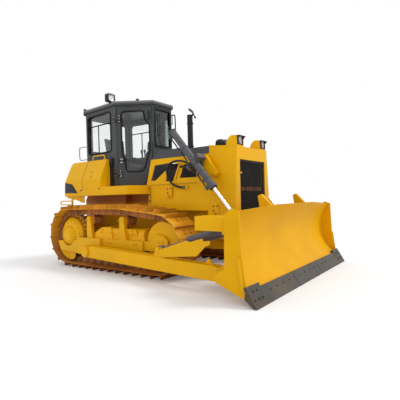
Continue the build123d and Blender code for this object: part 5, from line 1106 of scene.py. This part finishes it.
# The operator's seat is a sprung base with two sewn cushions of grey cloth
# over foam; each is crowned, pulled in along its sides and stitched in
# channels across.
upholstery = bpy.data.materials.new("seat_cloth")
upholstery.use_nodes = True
cloth = upholstery.node_tree
cloth.nodes.clear()
spot = add_node(cloth, "ShaderNodeTexCoord")
warp = add_node(cloth, "ShaderNodeTexWave", {"bands_direction": "Y"}, {"Vector": spot.outputs["Object"], "Scale": 190.0, "Distortion": 0.4})
weft = add_node(cloth, "ShaderNodeTexWave", {"bands_direction": "DIAGONAL"}, {"Vector": spot.outputs["Object"], "Scale": 150.0, "Distortion": 0.4})
weave = add_node(cloth, "ShaderNodeMath", {"operation": "MULTIPLY"}, {0: warp.outputs["Fac"], 1: weft.outputs["Fac"]})
faded = add_node(cloth, "ShaderNodeTexNoise", feeds={"Vector": spot.outputs["Object"], "Scale": 6.0, "Detail": 4.0})
tone = add_node(cloth, "ShaderNodeMath", {"operation": "MULTIPLY_ADD", "use_clamp": True}, {0: faded.outputs["Fac"], 1: 0.5, 2: weave.outputs[0]})
grey = blend_colour(cloth, tone.outputs[0], (0.018, 0.019, 0.021, 1), (0.055, 0.057, 0.062, 1))
relief = add_node(cloth, "ShaderNodeBump", feeds={"Strength": 0.4, "Distance": 0.001, "Height": weave.outputs[0]})
shader = add_node(cloth, "ShaderNodeBsdfPrincipled", feeds={
    "Base Color": grey, "Roughness": 0.85, "Sheen Weight": 0.35, "Normal": relief.outputs[0]})
add_node(cloth, "ShaderNodeOutputMaterial", feeds={"Surface": shader.outputs[0]})


def cushion(name, centre, ahead_way, size, channels):
    """A closed pad: crowned, soft at its edges, with sewn channels across its face."""
    up_way = ahead_way.cross(Vector((0, 1, 0))).normalized()
    bm = bmesh.new()
    bmesh.ops.create_cube(bm, size=2)
    bmesh.ops.subdivide_edges(bm, edges=bm.edges[:], cuts=27, use_grid_fill=True)
    for vert in bm.verts:
        x, y, z = vert.co
        crown = 0.66 + 0.34 * (1 - x**4) * (1 - y**4)
        pulled = 1 - 0.035 * (1 - x * x) * abs(y) ** 6, 1 - 0.035 * (1 - y * y) * abs(x) ** 6
        round_off = 1 - 0.07 * z**4
        rise = z * crown
        if z > 0:
            for channel in channels:
                rise -= 0.26 * math.exp(-(((x - channel) / 0.035) ** 2)) * z
            rise -= 0.20 * math.exp(-(((abs(y) - 0.74) / 0.03) ** 2)) * z
        vert.co = (centre + ahead_way * x * pulled[1] * round_off * size[0] / 2000
                   + Vector((0, 1, 0)) * y * pulled[0] * round_off * size[1] / 2000
                   + up_way * rise * size[2] / 2000)
    bmesh.ops.recalc_face_normals(bm, faces=bm.faces[:])
    piece = from_bm(name, bm, upholstery, "tractor", ("operator_seat",), smooth=80)
    return piece


cushion("seat_cushion", place(375, 0, 1914), Vector((1, 0, 0.03)).normalized(), (480, 490, 124), (-0.45, -0.1, 0.25, 0.6))
lean_way = Vector((-0.16, 0, 0.987)).normalized()
cushion("seat_back", place(88, 0, 2232), -lean_way, (560, 480, 108), (-0.62, -0.3, 0.02, 0.34))
bm = bmesh.new()
for left in (-272, 232):
    beside(bm, [(140, 2085), (420, 2085), (440, 2100), (430, 2128), (140, 2132)], left, 40, 10)
    beside(bm, [(150, 1900), (185, 1900), (185, 2095), (150, 2095)], left + 8, 24, 5)
from_bm("seat_arm_rests", bm, cab_plastic, "tractor")

# The front window is tinted with a film on its outer side, and the console in
# front of it carries an instrument hood.
tinted_film = clear_glass("tinted_film", (0.36, 0.42, 0.39))
bm = bmesh.new()
facing(bm, [(253 - 48, 2228), (253 - 458, 2228), (253 - 458, 2912), (253 - 48, 2912)], 1446, 2, 0)
from_bm("front_window_film", bm, tinted_film, "tractor")
bm = bmesh.new()
facing(bm, [(-190, 2170), (190, 2170), (170, 2330), (-170, 2330)], 1210, 130, 16)
for left in (-90, 0, 90):
    turned(bm, place(1209, left, 2255), (-1, 0, 0), [(0, 0), (34, 0), (34, 6), (30, 8), (0, 5)], 20)
from_bm("instrument_hood", bm, cab_plastic, "tractor")

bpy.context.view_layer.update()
